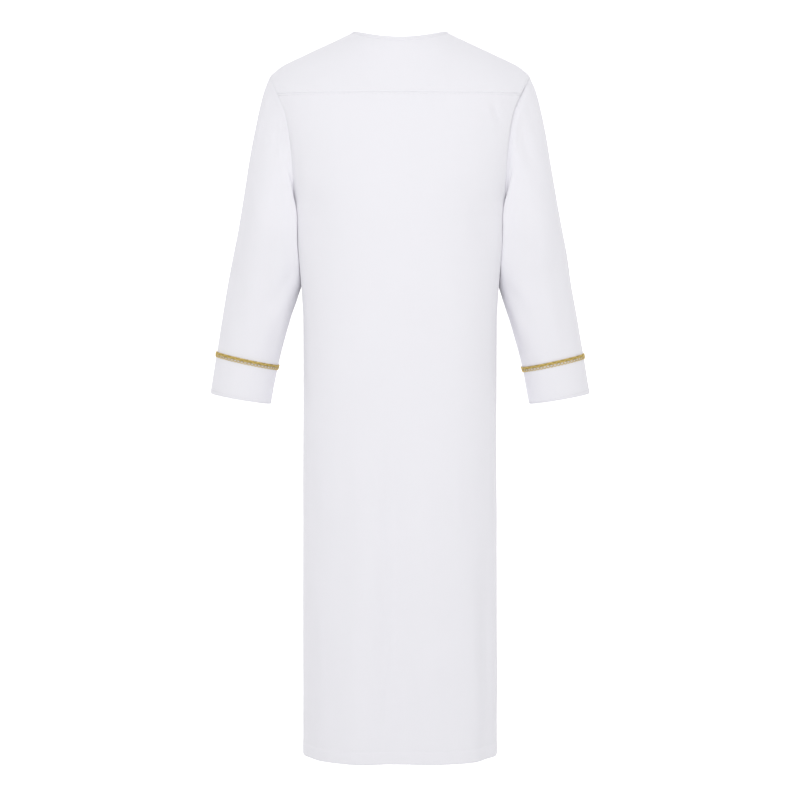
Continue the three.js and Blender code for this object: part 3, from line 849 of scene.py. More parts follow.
@dataclass(frozen=True)
class ArmForm:
    """The sleeve's form: its head from the armhole and its tube down to the end of the cuff.

    Attributes:
        hold: How far the head goes on along the shoulder before it falls.
        pull: Strength with which it leaves the armhole.
        cuff_seam: Share of the way down the tube at which the cuff begins.
    """

    robe: RobeForm
    hold: float = 0.48
    pull: float = 0.6
    cuff_seam: float = 0.772

    # share of the way down, edge points seen from the back, half depth, how far the arm hangs forward
    SECTIONS = np.array([
        (0.0, 0.3145, -0.3880, 0.1895, -0.395, 0.067, 0.010),
        (0.13, 0.3225, -0.4250, 0.1880, -0.437, 0.065, 0.018),
        (0.26, 0.3295, -0.4610, 0.1920, -0.480, 0.062, 0.025),
        (0.5, 0.3435, -0.5370, 0.2145, -0.555, 0.055, 0.030),
        (0.772, 0.3580, -0.6190, 0.2390, -0.645, 0.046, 0.034),
        (1.0, 0.3710, -0.6955, 0.2535, -0.716, 0.042, 0.038),
    ])

    def tube_point(self, share: Array, turn: Array) -> Array:
        """Point of the left sleeve below the biceps: an oval round the middle of its two edges."""
        out_x, out_z, in_x, in_z, depth, forward = np.moveaxis(through(self.SECTIONS, share), -1, 0)
        cosine = np.cos(turn)
        x = (out_x + in_x) / 2 + (out_x - in_x) / 2 * cosine
        z = (out_z + in_z) / 2 + (out_z - in_z) / 2 * cosine
        return np.stack(np.broadcast_arrays(x, depth * np.sin(turn) - forward, z), -1)

    def tube_normal(self, share: Array, turn: Array) -> Array:
        """Unit outward normal of the tube, from two small steps."""
        return normal_of(self.tube_point, share, turn)

    def armhole_half(self, face: Face, count: int) -> Array:
        """Evenly spaced points and normals of one face's half of the armhole, from the shoulder down."""
        robe = self.robe
        base = face.pick((robe.yoke_seam, robe.chest_line))
        t = np.linspace(1, 0, 60)
        z = robe.armhole_height(np.linspace(robe.armhole_turn(base), 1, 400))[1:]
        angle = robe.angle(face, robe.edge_angle(face, z))
        crest = partial(robe.crest, face, base)
        whole = np.ones_like(t)
        points = robe.bulged(np.vstack([crest(whole, t), robe.body(angle, z)]))
        normals = np.vstack([
            -face.value * normal_of(crest, whole * 0.9995, np.clip(t, 0.001, 0.999)),
            normal_of(robe.body, angle, z),
        ])
        run = lengths_along(points)
        both = np.hstack([points, normals])
        wanted = np.linspace(0, run[-1], count + 1)
        return np.stack([np.interp(wanted, run, both[:, k]) for k in range(both.shape[1])], -1)

    def armhole(self, count: int) -> tuple[Array, Array, Array]:
        """Points round the left armhole, from the shoulder point round the back and up the front.

        Args:
            count: How many steps on the back's half and on the front's half.

        Returns:
            The points, the panels' outward normals there, and the unit vectors on past their edges.
        """
        back, front = (self.armhole_half(face, count) for face in Face)
        ring = np.vstack([back, front[-2:0:-1]])
        points, normals = ring[:, :3], unit(ring[:, 3:])
        return points, normals, unit(np.cross(ring_way(points), normals))

    def grid(self, count: int, head_rows: Array, tube_rows: Array) -> Array:
        """Points of the left sleeve, rows down from the armhole and columns round it, the first repeated.

        Each column of the head is a cubic from the armhole to the tube's top. It leaves between the
        straight way there and the panel's own way on, by a share that fades from the shoulder to
        the underarm, and arrives along the tube.

        Args:
            count: Steps on each half of the armhole.
            head_rows: Shares down the head, from 0 to 1.
            tube_rows: Shares down the tube, the first above 0.

        Returns:
            Rows x columns x 3.
        """
        points, _, onward = self.armhole(count)
        turns = np.linspace(0, 2 * math.pi, 2 * count, endpoint=False)
        target = self.tube_point(np.zeros_like(turns), turns)
        hold = (self.hold * np.cos(turns / 2) ** 2)[:, None]
        way = unit(unit(target - points) * (1 - hold) + onward * hold)
        down = unit(self.tube_point(np.full_like(turns, 0.01), turns) - target)
        reach = np.linalg.norm(target - points, axis=-1, keepdims=True)
        head = hermite(points, way * reach * self.pull, target, down * reach, head_rows[:, None, None])
        tube_part = self.tube_point(tube_rows[:, None], turns[None])
        grid = np.concatenate([head, tube_part])
        return np.concatenate([grid, grid[:, :1]], axis=1)


# ---- Shader maths and finishes


class Value:
    """A number or colour on a shader socket; +, - and * with it add Math nodes."""

    def __init__(self, bench: "Bench", socket: bpy.types.NodeSocket) -> None:
        """Holds the socket and the bench that it is on."""
        self.bench = bench
        self.socket = socket

    def math(self, operation: str, first: "Value | float", second: "Value | float") -> "Value":
        """A Math node of one operation on two numbers."""
        return self.bench.node("ShaderNodeMath", {"operation": operation}, {0: first, 1: second})

    def __add__(self, other: "Value | float") -> "Value":
        """Sum."""
        return self.math("ADD", self, other)

    def __mul__(self, other: "Value | float") -> "Value":
        """Product."""
        return self.math("MULTIPLY", self, other)

    def __sub__(self, other: "Value | float") -> "Value":
        """Difference."""
        return self.math("SUBTRACT", self, other)

    def __rsub__(self, other: float) -> "Value":
        """Difference, the other way round."""
        return self.math("SUBTRACT", other, self)

    __radd__ = __add__
    __rmul__ = __mul__


class Bench:
    """One material's node tree, with a single method that adds nodes."""

    def __init__(self, name: str) -> None:
        """Starts a material with nothing but its output."""
        self.material = bpy.data.materials.new(name)
        self.material.use_nodes = True
        self.tree = self.material.node_tree
        self.tree.nodes.clear()

    def node(
        self,
        kind: str,
        settings: dict[str, object] | None = None,
        values: dict[str | int, object] | None = None,
        output: str | int = 0,
    ) -> Value:
        """Adds a node.

        Args:
            kind: The node's type.
            settings: Its own settings, which are set first.
            values: Numbers, or links, for its sockets by name or place.
            output: Which of its outputs is wanted.

        Returns:
            That output.
        """
        made = self.tree.nodes.new(kind)
        for key, setting in (settings or {}).items():
            setattr(made, key, setting)
        for key, value in (values or {}).items():
            if isinstance(value, Value):
                self.tree.links.new(value.socket, made.inputs[key])
            else:
                made.inputs[key].default_value = value
        return Value(self, made.outputs[output])

    def blend(self, share: Value, low: Sequence[float], high: Sequence[float]) -> Value:
        """Colour at a share of the way between two colours."""
        factor, colour_a, colour_b, colour_out = 0, 6, 7, 2
        colours = {factor: share, colour_a: (*low, 1.0), colour_b: (*high, 1.0)}
        return self.node("ShaderNodeMix", {"data_type": "RGBA"}, colours, colour_out)

    def on_cloth(self) -> Value:
        """The place on the flat cloth, in metres."""
        return self.node("ShaderNodeUVMap", {"uv_map": "cloth"})

    def on_object(self) -> Value:
        """The place on the object, in metres."""
        return self.node("ShaderNodeTexCoord", output="Object")

    def scaled(self, place: Value, scale: tuple[float, float, float]) -> Value:
        """A place with its own scale along each axis."""
        return self.node("ShaderNodeMapping", None, {"Vector": place, "Scale": scale})

    def noise(self, place: Value, scale: float, detail: float = 2.0) -> Value:
        """Even noise from 0 to 1."""
        return self.node("ShaderNodeTexNoise", None, {"Vector": place, "Scale": scale, "Detail": detail})

    def wave(self, place: Value, way: str, scale: float) -> Value:
        """Sine bands from 0 to 1 across one way."""
        given = {"Vector": place, "Scale": scale}
        return self.node("ShaderNodeTexWave", {"bands_direction": way}, given, "Fac")

    def part(self, vector: Value, axis: str) -> Value:
        """One part of a vector."""
        return self.node("ShaderNodeSeparateXYZ", None, {"Vector": vector}, axis)

    def raised(self, height: Value) -> Value:
        """Normal of a surface raised by a height in millimetres."""
        return self.node("ShaderNodeBump", None, {"Strength": 1.0, "Distance": MM, "Height": height})

    def finish(self, values: dict[str, object]) -> bpy.types.Material:
        """Joins a Principled shader with these sockets to the output.

        Args:
            values: The shader's sockets.

        Returns:
            The material.
        """
        shader = self.node("ShaderNodeBsdfPrincipled", None, values)
        output = self.tree.nodes.new("ShaderNodeOutputMaterial")
        self.tree.links.new(shader.socket, output.inputs["Surface"])
        return self.material


def darker(colour: tuple[float, float, float], share: float) -> tuple[float, float, float]:
    """A colour taken down by a share of itself."""
    return tuple(part * (1 - share) for part in colour)


@dataclass(frozen=True)
class WhiteCloth:
    """Plain-woven white cloth, matt, with a faint sheen and the slight slubs of its threads.

    Attributes:
        shade: How much darker the slubs and the soft mottling go, out of 1.
        relief: Height of the weave, in millimetres.
        slub: Height of the slubs, in millimetres.
        slub_scales: Scales of the slubs across and along each of the two threads.
        crumple: Height of the faint unevenness of pressed cloth, in millimetres.
    """

    name: str = "white_cloth"
    colour: tuple[float, float, float] = (0.86, 0.853, 0.895)
    shade: float = 0.035
    pitch: float = 0.00048
    relief: float = 0.035
    slub: float = 0.03
    slub_scales: tuple[tuple[float, float, float], ...] = ((900.0, 26.0, 1.0), (22.0, 760.0, 1.0))
    crumple: float = 0.16
    crumple_scale: float = 42.0
    mottle_scale: float = 7.0
    sheen: float = 0.12

    def material(self) -> bpy.types.Material:
        """Weave: the product of two sine bands, one for each thread. Slubs: noise stretched along each."""
        bench = Bench(self.name)
        place = bench.on_cloth()
        warp, weft = (bench.wave(place, way, WAVE_LENGTH / self.pitch / 2) for way in "XY")
        weave = (warp - 0.5) * (weft - 0.5) * 2.0
        along_warp, along_weft = (bench.noise(bench.scaled(place, scale), 1.0) for scale in self.slub_scales)
        slubs = along_warp + along_weft
        crumple = bench.noise(place, self.crumple_scale, 3.0)
        mottle = bench.noise(place, self.mottle_scale)
        height = weave * self.relief + slubs * self.slub + crumple * self.crumple
        tone = slubs * 0.35 + mottle * 0.45 - 0.12
        return bench.finish({
            "Base Color": bench.blend(tone, darker(self.colour, self.shade), self.colour),
            "Roughness": 0.8 + (mottle - 0.5) * 0.12,
            "Normal": bench.raised(height),
            "Specular IOR Level": 0.3,
            "Sheen Weight": self.sheen,
            "Sheen Roughness": 0.45,
        })


@dataclass(frozen=True)
class MetalThread:
    """Metal thread wound on a core, with painted light on each winding and painted shade between them by
    turns along its twist.

    Attributes:
        painted_light_gold: Colour of the windings, with painted light on them.
        painted_shade_gold: Colour between the windings, painted shade in the grooves there.
        twist: Windings per metre.
    """

    name: str = "gold_thread"
    painted_light_gold: tuple[float, float, float] = (0.92, 0.70, 0.23)
    painted_shade_gold: tuple[float, float, float] = (0.33, 0.23, 0.055)
    twist: float = 620.0
    grain: float = 420.0
    metallic: float = 0.5

    def material(self) -> bpy.types.Material:
        """Windings: sine of the length along the thread times twist, plus one turn round it."""
        bench = Bench(self.name)
        turned = bench.scaled(bench.on_cloth(), (1.0, self.twist, 1.0))
        turns = (bench.part(turned, "X") + bench.part(turned, "Y")) * (2 * math.pi)
        # sine bands along the twist: painted light on each winding and painted shade between them, and the
        # windings' bump
        wound = bench.node("ShaderNodeMath", {"operation": "SINE"}, {0: turns}) * 0.5 + 0.5
        uneven = bench.noise(bench.on_object(), self.grain)
        tint = bench.node("ShaderNodeAttribute", {"attribute_name": "tint"}, output="Fac")
        # painted light and shade of the windings, plus the metal's uneven tone, times each strand's tone
        lit = (wound * 0.5 + uneven * 0.9 - 0.05) * tint
        clear = bench.node("ShaderNodeClamp", None, {"Value": lit})
        return bench.finish({
            # base colour runs from painted shade between the windings to painted light on them
            "Base Color": bench.blend(clear, self.painted_shade_gold, self.painted_light_gold),
            "Roughness": 0.52 - clear * 0.2,
            "Metallic": self.metallic,
            "Normal": bench.raised(wound * 0.22 + uneven * 0.1),
        })


@dataclass(frozen=True)
class SewingThread:
    """White sewing thread, a little shinier than the cloth, with its twist as a bump and as painted shade."""

    name: str = "sewing_thread"
    colour: tuple[float, float, float] = (0.83, 0.825, 0.86)

    def material(self) -> bpy.types.Material:
        """Twist: slanted bands along each stitch, as height and as painted shade in the grooves between its
        turns.
        """
        bench = Bench(self.name)
        bands = bench.wave(bench.on_cloth(), "DIAGONAL", 1.1)
        return bench.finish({
            # the darker bands are painted shade between the turns of the twist
            "Base Color": bench.blend(bands, darker(self.colour, 0.2), self.colour),
            "Roughness": 0.55 + bands * 0.1,
            "Normal": bench.raised(bands * 0.05),
        })


@dataclass(frozen=True)
class PalePaper:
    """The plain pale floor and backdrop.

    Attributes:
        glow: How brightly the backdrop is lit, as a glow of its own.
        lit_from: Y at which the glow begins.
        lit_to: Y at which it is full.
    """

    name: str = "pale_paper"
    colour: tuple[float, float, float] = (0.86, 0.86, 0.86)
    glow: float = 0.6
    lit_from: float = -0.5
    lit_to: float = -1.2

    def material(self) -> bpy.types.Material:
        """A matt white with a trace of unevenness, and a glow that grows along Y towards the backdrop."""
        bench = Bench(self.name)
        place = bench.on_object()
        lit = bench.node("ShaderNodeMapRange", None, {
            "Value": bench.part(place, "Y"), "From Min": self.lit_from, "From Max": self.lit_to,
        })
        return bench.finish({
            "Base Color": bench.blend(bench.noise(place, 3.0), darker(self.colour, 0.01), self.colour),
            "Roughness": 0.95,
            "Emission Color": bench.blend(lit, (0.0, 0.0, 0.0), (1.0, 1.0, 1.0)),
            "Emission Strength": self.glow,
        })


@dataclass(frozen=True)
class Finishes:
    """The materials of the garment and its stage, each made once."""

    single: bpy.types.Material
    doubled: bpy.types.Material
    thread: bpy.types.Material
    gold: bpy.types.Material
    paper: bpy.types.Material

    @staticmethod
    def made() -> "Finishes":
        """Makes all of them."""
        return Finishes(
            WhiteCloth().material(),
            WhiteCloth(name="doubled_cloth", crumple=0.08).material(),
            SewingThread().material(),
            MetalThread().material(),
            PalePaper().material(),
        )


# ---- Sewn pieces


@dataclass(frozen=True)
class Stitches:
    """A row of sewing: grains of thread laid end to end along a line on the cloth.

    Attributes:
        grain: Length of a stitch that shows.
        stand: Height of a stitch's middle over the cloth, in radii.
        dip: How much lower its ends are, in radii.
    """

    pitch: float = 0.0032
    grain: float = 0.0024
    radius: float = 0.00036
    stand: float = 0.95
    dip: float = 1.3

    RINGS = np.array([-0.96, -0.6, 0.0, 0.6, 0.96])[:, None]
    CORNERS = 6

    def row(self, line: Array, normals: Array) -> Skin:
        """Grains along a line.

        A grain is a ring of corners at each of RINGS, x, whose radius is the root of 1 - x squared,
        bowed by x squared so that its ends dip into the cloth, with a strip across each end.

        Args:
            line: Points on the cloth.
            normals: Its outward normals there.

        Returns:
            All the grains as one surface.
        """
        count = max(2, int(lengths_along(line)[-1] / self.pitch))
        both = even_points(np.hstack([line, normals]), 2 * count + 1)
        middle, out = both[1::2, :3], unit(both[1::2, 3:])
        ahead = unit(both[2::2, :3] - both[:-1:2, :3])
        side = np.cross(out, ahead)
        x = self.RINGS
        a = np.linspace(0, 2 * math.pi, self.CORNERS, endpoint=False)
        ring = np.sqrt(1 - x**2) * self.radius
        grid = np.stack(np.broadcast_arrays(
            x * self.grain / 2,
            ring * np.cos(a),
            ring * np.sin(a) + self.radius * (self.stand - self.dip * x**2),
        ), -1).reshape(-1, 3)
        quads = ring_quads(len(x), self.CORNERS, closed=False)
        frame = np.stack([ahead, side, out], 1)
        points = middle[:, None] + np.einsum("pk,ikj->ipj", grid, frame)
        every = (quads[None] + np.arange(len(middle))[:, None, None] * len(grid)).reshape(-1, 4)
        uv = np.stack(np.broadcast_arrays(x * 2, a[None] / 3), -1).reshape(-1, 2)
        return facing_out(Skin(points.reshape(-1, 3), every, np.tile(uv, (len(middle), 1))))


def sewn(obj: bpy.types.Object, replaced: str | None = None) -> None:
    """Rides a piece on the garment, hides the solid that it stands for, and logs its faces."""
    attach(obj, "root")
    if replaced:
        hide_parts(replaced)
    log.info("%s: %d faces", obj.name, len(obj.data.polygons))


def declared(obj: bpy.types.Object, grid: Array, skin: Skin) -> None:
    """Logs a sheet's cut: the longest row and column, and the sum of the faces' areas.

    Args:
        obj: The sheet.
        grid: Its points before relief, rows x columns x 3.
        skin: Its outer surface.
    """
    a, b, c, d = (skin.points[skin.quads[:, k]] for k in range(4))
    area = np.linalg.norm(np.cross(c - a, d - b), axis=-1).sum() / 2
    width = float(lengths_along(grid, 1)[:, -1].max())
    length = float(lengths_along(grid, 0)[-1].max())
    area = float(min(area, width * length))
    log.info("%s cut %.3f x %.3f m, %.4f m2", obj.name, width, length, area)


def where(values: Array, level: float, grid: Array) -> Array:
    """Points of a grid at which a value that grows down each column reaches a level.

    Args:
        values: Rows x columns, growing down the columns.
        level: The value that is wanted.
        grid: Rows x columns x 3, or more numbers for each place.

    Returns:
        One point for each column, part of the way between its two rows.
    """
    row = np.clip((values < level).sum(0), 1, len(values) - 1)
    column = np.arange(values.shape[1])
    low, high = values[row - 1, column], values[row, column]
    share = np.clip((level - low) / np.maximum(high - low, 1e-9), 0, 1)[:, None]
    return mix(grid[row - 1, column], grid[row, column], share)


@dataclass
class Panel:
    """A panel that has been laid out on the body: its surface, its distances, and its cut.

    Attributes:
        skin: Its outer surface, with its relief.
        plain: Its grid of points before relief.
        across: Place across each point, from the middle, along the cloth.
        to_side: Distance along the row to the armhole or side seam.
        from_top: Distance down the column from the upper edge.
    """

    name: str
    skin: Skin
    plain: Array
    across: Array
    z: Array
    to_side: Array
    from_top: Array

    def edges(
        self, creases: Sequence[Crease], valleys: dict[Side, Valley], top: Seam, side: Seam, seed: int
    ) -> Array:
        """Relief that every panel has.

        Args:
            creases: Its creases.
            valleys: Those beside its armholes.
            top: How it lies at its upper edge.
            side: How it lies at its sides.
            seed: Which waves the two seams have, this one and the next.

        Returns:
            The sum of their heights on the grid.
        """
        return (
            creased(creases, self.across, self.z)
            + top.height(self.from_top, self.across, seed)
            + side.height(self.to_side, self.z, seed + 1)
            + body_valleys(valleys, self.to_side, self.across, self.z)
        )

    def unevenness(self, seed: int) -> Array:
        """Faint large waves of hanging cloth, long down it, stronger lower down and still beside seams."""
        grown = mix(0.35, 1.0, smooth_step(-(self.z + 0.3) / 0.9))
        calm = smooth_step(self.to_side / 0.05) * smooth_step(self.from_top / 0.04)
        large = soft_noise(self.across, self.z * 0.22, 0.11, seed)
        small = soft_noise(self.across, self.z * 0.35, 0.05, seed + 50)
        return 0.0011 * grown * calm * (large + 0.5 * small)

    def finished(
        self, name: str, relief: Array, wall: Array, finish: bpy.types.Material, rests_on: list[str]
    ) -> "Panel":
        """Gives the panel its relief and its wall, and puts it into the scene as a sheet.

        Args:
            name: The sheet's name.
            relief: Height on the grid.
            wall: Thickness on the grid.
            finish: Its material.
            rests_on: Not used.

        Returns:
            The panel.
        """
        self.skin = self.skin.lifted(relief)
        obj = mesh_object(name, self.skin.closed(self.skin.from_grid(wall)), finish)
        sewn(obj, self.name)
        declared(obj, self.plain, self.skin)
        return self

    def line(self, values: Array, level: float, by_columns: bool = True) -> tuple[Array, Array]:
        """Points and normals where a value reaches a level, one for each column or for each row."""
        both = np.concatenate([self.skin.points, self.skin.normals()], -1)[self.skin.number]
        if not by_columns:
            values, both = values.T, both.transpose(1, 0, 2)
        found = where(values, level, both)
        return found[:, :3], unit(found[:, 3:])


def laid_out(name: str, grid: Array, outward: int, base: float) -> Panel:
    """Measures a grid of points of the body, and makes its surface.

    Args:
        name: The node that the panel stands for.
        grid: Rows x columns x 3, rows down, columns from the wearer's right to the left. An even
            number of columns leaves a slit between the two in the middle.
        outward: 1 on the front, -1 on the back.
        base: Height at which the place along the cloth is its height.

    Returns:
        The panel without relief.
    """
    middle = (grid.shape[1] - 1) // 2
    slit = grid.shape[1] % 2 == 0
    run = lengths_along(grid, 1)
    centre = run[:, middle : middle + 1]
    across = run - centre
    if slit:
        gap = run[:, middle + 1 : middle + 2] - centre
        across = np.where(np.arange(grid.shape[1]) > middle, across - gap, across)
    down = lengths_along(grid, 0)
    start = int(np.argmin(np.abs(grid[:, middle, 2] - base)))
    along = grid[start, middle, 2] - (down - down[start])
    ends = np.where(across >= 0, across[:, -1:], -across[:, :1])
    skin = grid_skin(grid, np.stack([across, along], -1), outward, middle if slit else None)
    return Panel(name, skin, grid, across, grid[..., 2], ends - np.abs(across), down)


def both_halves(half: Array) -> Array:
    """Shares from the wearer's right to the left, with one column in the middle."""
    return np.concatenate([-half[:0:-1], half])


@dataclass(frozen=True)
class Hem:
    """The turned hem of the body's panels."""

    width: float = 0.024
    single: float = 0.0008
    turned: float = 0.0020
    round_in: float = 0.0009
    step: float = 0.0004
    groove: float = 0.0003

    LINES = (-0.0015, 0.0, 0.0015)  # lines of corners about its sewing

    def rows(self, edge: float) -> list[float]:
        """Heights of the lines of corners at its edge and about its sewing."""
        return [edge + d for d in NEAR_SEAM[:4]] + [edge + self.width + d for d in self.LINES]

    def relief(self, z: Array, edge: float) -> Array:
        """A fold that rounds in at the edge, and a slight step and a groove where it is sewn."""
        above = z - edge
        step = 1 - smooth_step((above - self.width + 0.002) / 0.004)
        groove = gauss(above - self.width - 0.001, 0.002)
        return -self.round_in * gauss(above, 0.0016) + self.step * step - self.groove * groove

    def wall(self, z: Array, edge: float) -> Array:
        """Thickness at each height."""
        return np.where(z < edge + self.width, self.turned, self.single)


def body_rows(
    robe: RobeForm, hem: Hem, start: float, counts: tuple[int, int], more: Sequence[float]
) -> Array:
    """Heights of a panel's level rows.

    Args:
        robe: The robe's form.
        hem: The panel's hem.
        start: Height of the first row.
        counts: Cells by the armhole's oval, and even ones from there to the hem.
        more: Heights of more rows.

    Returns:
        The heights, falling.
    """
    armhole = robe.armhole_height(np.linspace(robe.armhole_turn(start), 1, counts[0] + 1))
    skirt = np.linspace(robe.armhole_bottom, robe.hem, counts[1] + 1)
    return distinct(armhole, skirt, hem.rows(robe.hem), more)[::-1]


@dataclass(frozen=True)
class BackYoke:
    """The doubled yoke over the shoulder blades, whose folded lower edge laps the back panel.

    Attributes:
        pressed: Share of the wall that is left at the folded edge.
        lift: How far the yoke lies over the back panel.
        rise: Its usual length from the seam up to the neck.
        seam: How it lies at the neck and the armholes.
        lap: How it lies at its folded edge.
    """

    robe: RobeForm
    wall: float = 0.0014
    pressed: float = 0.35
    lift: float = 0.0003
    rows: int = 36
    neck_columns: int = 26
    columns: int = 46
    rise: float = 0.13
    overlap: float = 0.0018
    waves: float = 0.0005
    seam: Seam = Seam()
    lap: Seam = Seam(roll=0.0004, roll_width=0.0007, swell=0.0004, swell_at=0.0030, pucker=0.00015)
    creases: tuple[Crease, ...] = crease_rows(
        (0.150, -0.060, 0.200, -0.105, 0.012, 0.0008, -0.004),
        (-0.060, -0.050, -0.120, -0.085, 0.014, 0.0005),
    )

    def build(self, finishes: Finishes) -> None:
        """Makes the yoke, a little over the back panel and pressed thin at its fold."""
        base = self.robe.yoke_seam
        near = near_seam(self.rise)
        t = spaced(1.0, -self.overlap / self.rise, self.rows, near, [0.0005 / self.rise] + near)
        half = self.robe.half_shares(self.neck_columns, self.columns, near_seam(0.26))
        places = np.broadcast_arrays(both_halves(half)[None], t[:, None])
        panel = laid_out("back_yoke", self.robe.smooth_crest(Face.BACK, base, *places), -1, base)
        to_foot = panel.from_top[-1] - panel.from_top
        calm = smooth_step(to_foot / 0.03) * smooth_step(panel.from_top / 0.03)
        relief = (
            panel.edges(self.creases, BACK_VALLEYS, self.seam, self.seam, 5)
            + self.waves * soft_noise(panel.across, panel.z, 0.09, 3) * calm
            + self.lap.height(to_foot, panel.across, 7)
            + self.lift * smooth_step(panel.to_side / 0.004)
        )
        wall = self.wall * mix(self.pressed, 1.0, smooth_step(to_foot / 0.005))
        panel.finished("yoke_cloth", relief, wall, finishes.doubled, ["neck_binding", "back_panel"])


@dataclass(frozen=True)
class BackPanel:
    """The back below the yoke, down to the turned hem."""

    robe: RobeForm
    hem: Hem = Hem()
    armhole_rows: int = 70
    skirt_rows: int = 225
    neck_columns: int = 22
    columns: int = 42
    seam: Seam = Seam()
    top: Seam = Seam(roll=0.0007, roll_width=0.0022, swell=0.0003, swell_at=0.0062, pucker=0.00025)
    creases: tuple[Crease, ...] = crease_rows(
        (-0.176, -0.130, -0.204, -0.182, 0.006, 0.0016, 0.005),
        (0.150, -0.190, 0.196, -0.400, 0.020, 0.0010, -0.008),
        (-0.150, -0.260, -0.196, -0.470, 0.020, 0.0010, 0.006),
        (0.020, -0.700, 0.016, -1.380, 0.016, 0.0024, 0.0, 0.3),
        (0.068, -0.640, 0.074, -1.300, 0.026, -0.0016, 0.0, 0.4),
        (-0.044, -0.690, -0.048, -1.330, 0.020, -0.0014, 0.0, 0.4),
        (-0.176, -0.900, -0.184, -1.370, 0.018, 0.0022, 0.0, 0.4),
        (0.214, -0.480, 0.222, -1.330, 0.014, 0.0014, 0.0, 0.25),
        (-0.218, -0.620, -0.224, -1.300, 0.014, 0.0012, 0.0, 0.3),
        (-0.020, -0.135, -0.012, -0.420, 0.040, 0.0006),
    )

    def build(self, finishes: Finishes) -> Panel:
        """Makes the panel."""
        robe = self.robe
        half = robe.half_shares(self.neck_columns, self.columns, near_seam(0.25))
        counts = (self.armhole_rows, self.skirt_rows)
        z = body_rows(robe, self.hem, robe.yoke_seam, counts, [robe.yoke_seam - d for d in NEAR_SEAM])
        places = np.broadcast_arrays(both_halves(half)[None], z[:, None])
        panel = laid_out("back_panel", robe.bulged(robe.level(Face.BACK, *places)), -1, robe.yoke_seam)
        relief = (
            panel.edges(self.creases, BACK_VALLEYS, self.top, self.seam, 12)
            + panel.unevenness(11)
            + self.hem.relief(panel.z, robe.hem)
        )
        wall = self.hem.wall(panel.z, robe.hem)
        return panel.finished("back_cloth", relief, wall, finishes.single, ["back_yoke", "neck_binding"])


@dataclass(frozen=True)
class FrontPanel:
    """The front from the shoulder seams to the hem, with a round neck and a short open slit.

    Attributes:
        crest_rows: Cells from the shoulder seams and the neck down to the chest line.
        slit_columns: Shares of more columns beside the slit.
        seam: How it lies at its upper edge and its sides.
        beside_slit: How it lies at the slit.
    """

    robe: RobeForm
    hem: Hem = Hem()
    crest_rows: int = 44
    armhole_rows: int = 58
    skirt_rows: int = 215
    neck_columns: int = 22
    columns: int = 40
    slit_columns: tuple[float, ...] = (0.003, 0.007, 0.012)
    seam: Seam = Seam()
    beside_slit: Seam = Seam(roll=0.0008, pucker=0.0002)
    creases: tuple[Crease, ...] = crease_rows(
        (0.110, -0.120, 0.190, -0.210, 0.016, 0.0014, 0.006),
        (-0.104, -0.130, -0.186, -0.230, 0.015, 0.0016, -0.006),
        (0.006, -0.275, 0.030, -0.560, 0.016, 0.0016, -0.006),
        (-0.008, -0.290, -0.052, -0.620, 0.020, 0.0012, 0.004),
        (-0.060, -0.660, -0.070, -1.370, 0.018, 0.0022, 0.0, 0.3),
        (0.048, -0.740, 0.060, -1.340, 0.024, -0.0016, 0.0, 0.4),
        (0.152, -0.820, 0.166, -1.370, 0.018, 0.0020, 0.0, 0.4),
        (-0.160, -0.700, -0.176, -1.330, 0.022, -0.0015, 0.0, 0.4),
        (0.226, -0.520, 0.232, -1.320, 0.014, 0.0013, 0.0, 0.3),
        (-0.228, -0.600, -0.236, -1.340, 0.014, 0.0014, 0.0, 0.3),
    )

    def build(self, finishes: Finishes) -> Panel:
        """Makes the panel: the crest's rows down to the chest line, then level rows."""
        robe = self.robe
        half = robe.half_shares(self.neck_columns, self.columns, near_seam(0.25), self.slit_columns)
        shares = np.concatenate([-half[::-1], half])[None]
        t = spaced(1.0, 0.0, self.crest_rows, near_seam(0.14))[:-1]
        counts = (self.armhole_rows, self.skirt_rows)
        z = body_rows(robe, self.hem, robe.chest_line, counts, [robe.slit_bottom])
        upper = robe.smooth_crest(Face.FRONT, robe.chest_line, *np.broadcast_arrays(shares, t[:, None]))
        lower = robe.bulged(robe.level(Face.FRONT, *np.broadcast_arrays(shares, z[:, None])))
        panel = laid_out("front_panel", np.concatenate([upper, lower]), 1, robe.chest_line)
        to_slit = np.hypot(np.abs(panel.across), np.maximum(0, robe.slit_bottom - panel.z))
        relief = (
            panel.edges(self.creases, FRONT_VALLEYS, self.seam, self.seam, 22)
            + panel.unevenness(21)
            + self.beside_slit.height(to_slit, panel.z, 24)
            + self.hem.relief(panel.z, robe.hem)
        )
        wall = self.hem.wall(panel.z, robe.hem)
        return panel.finished("front_cloth", relief, wall, finishes.single, ["back_yoke", "neck_binding"])


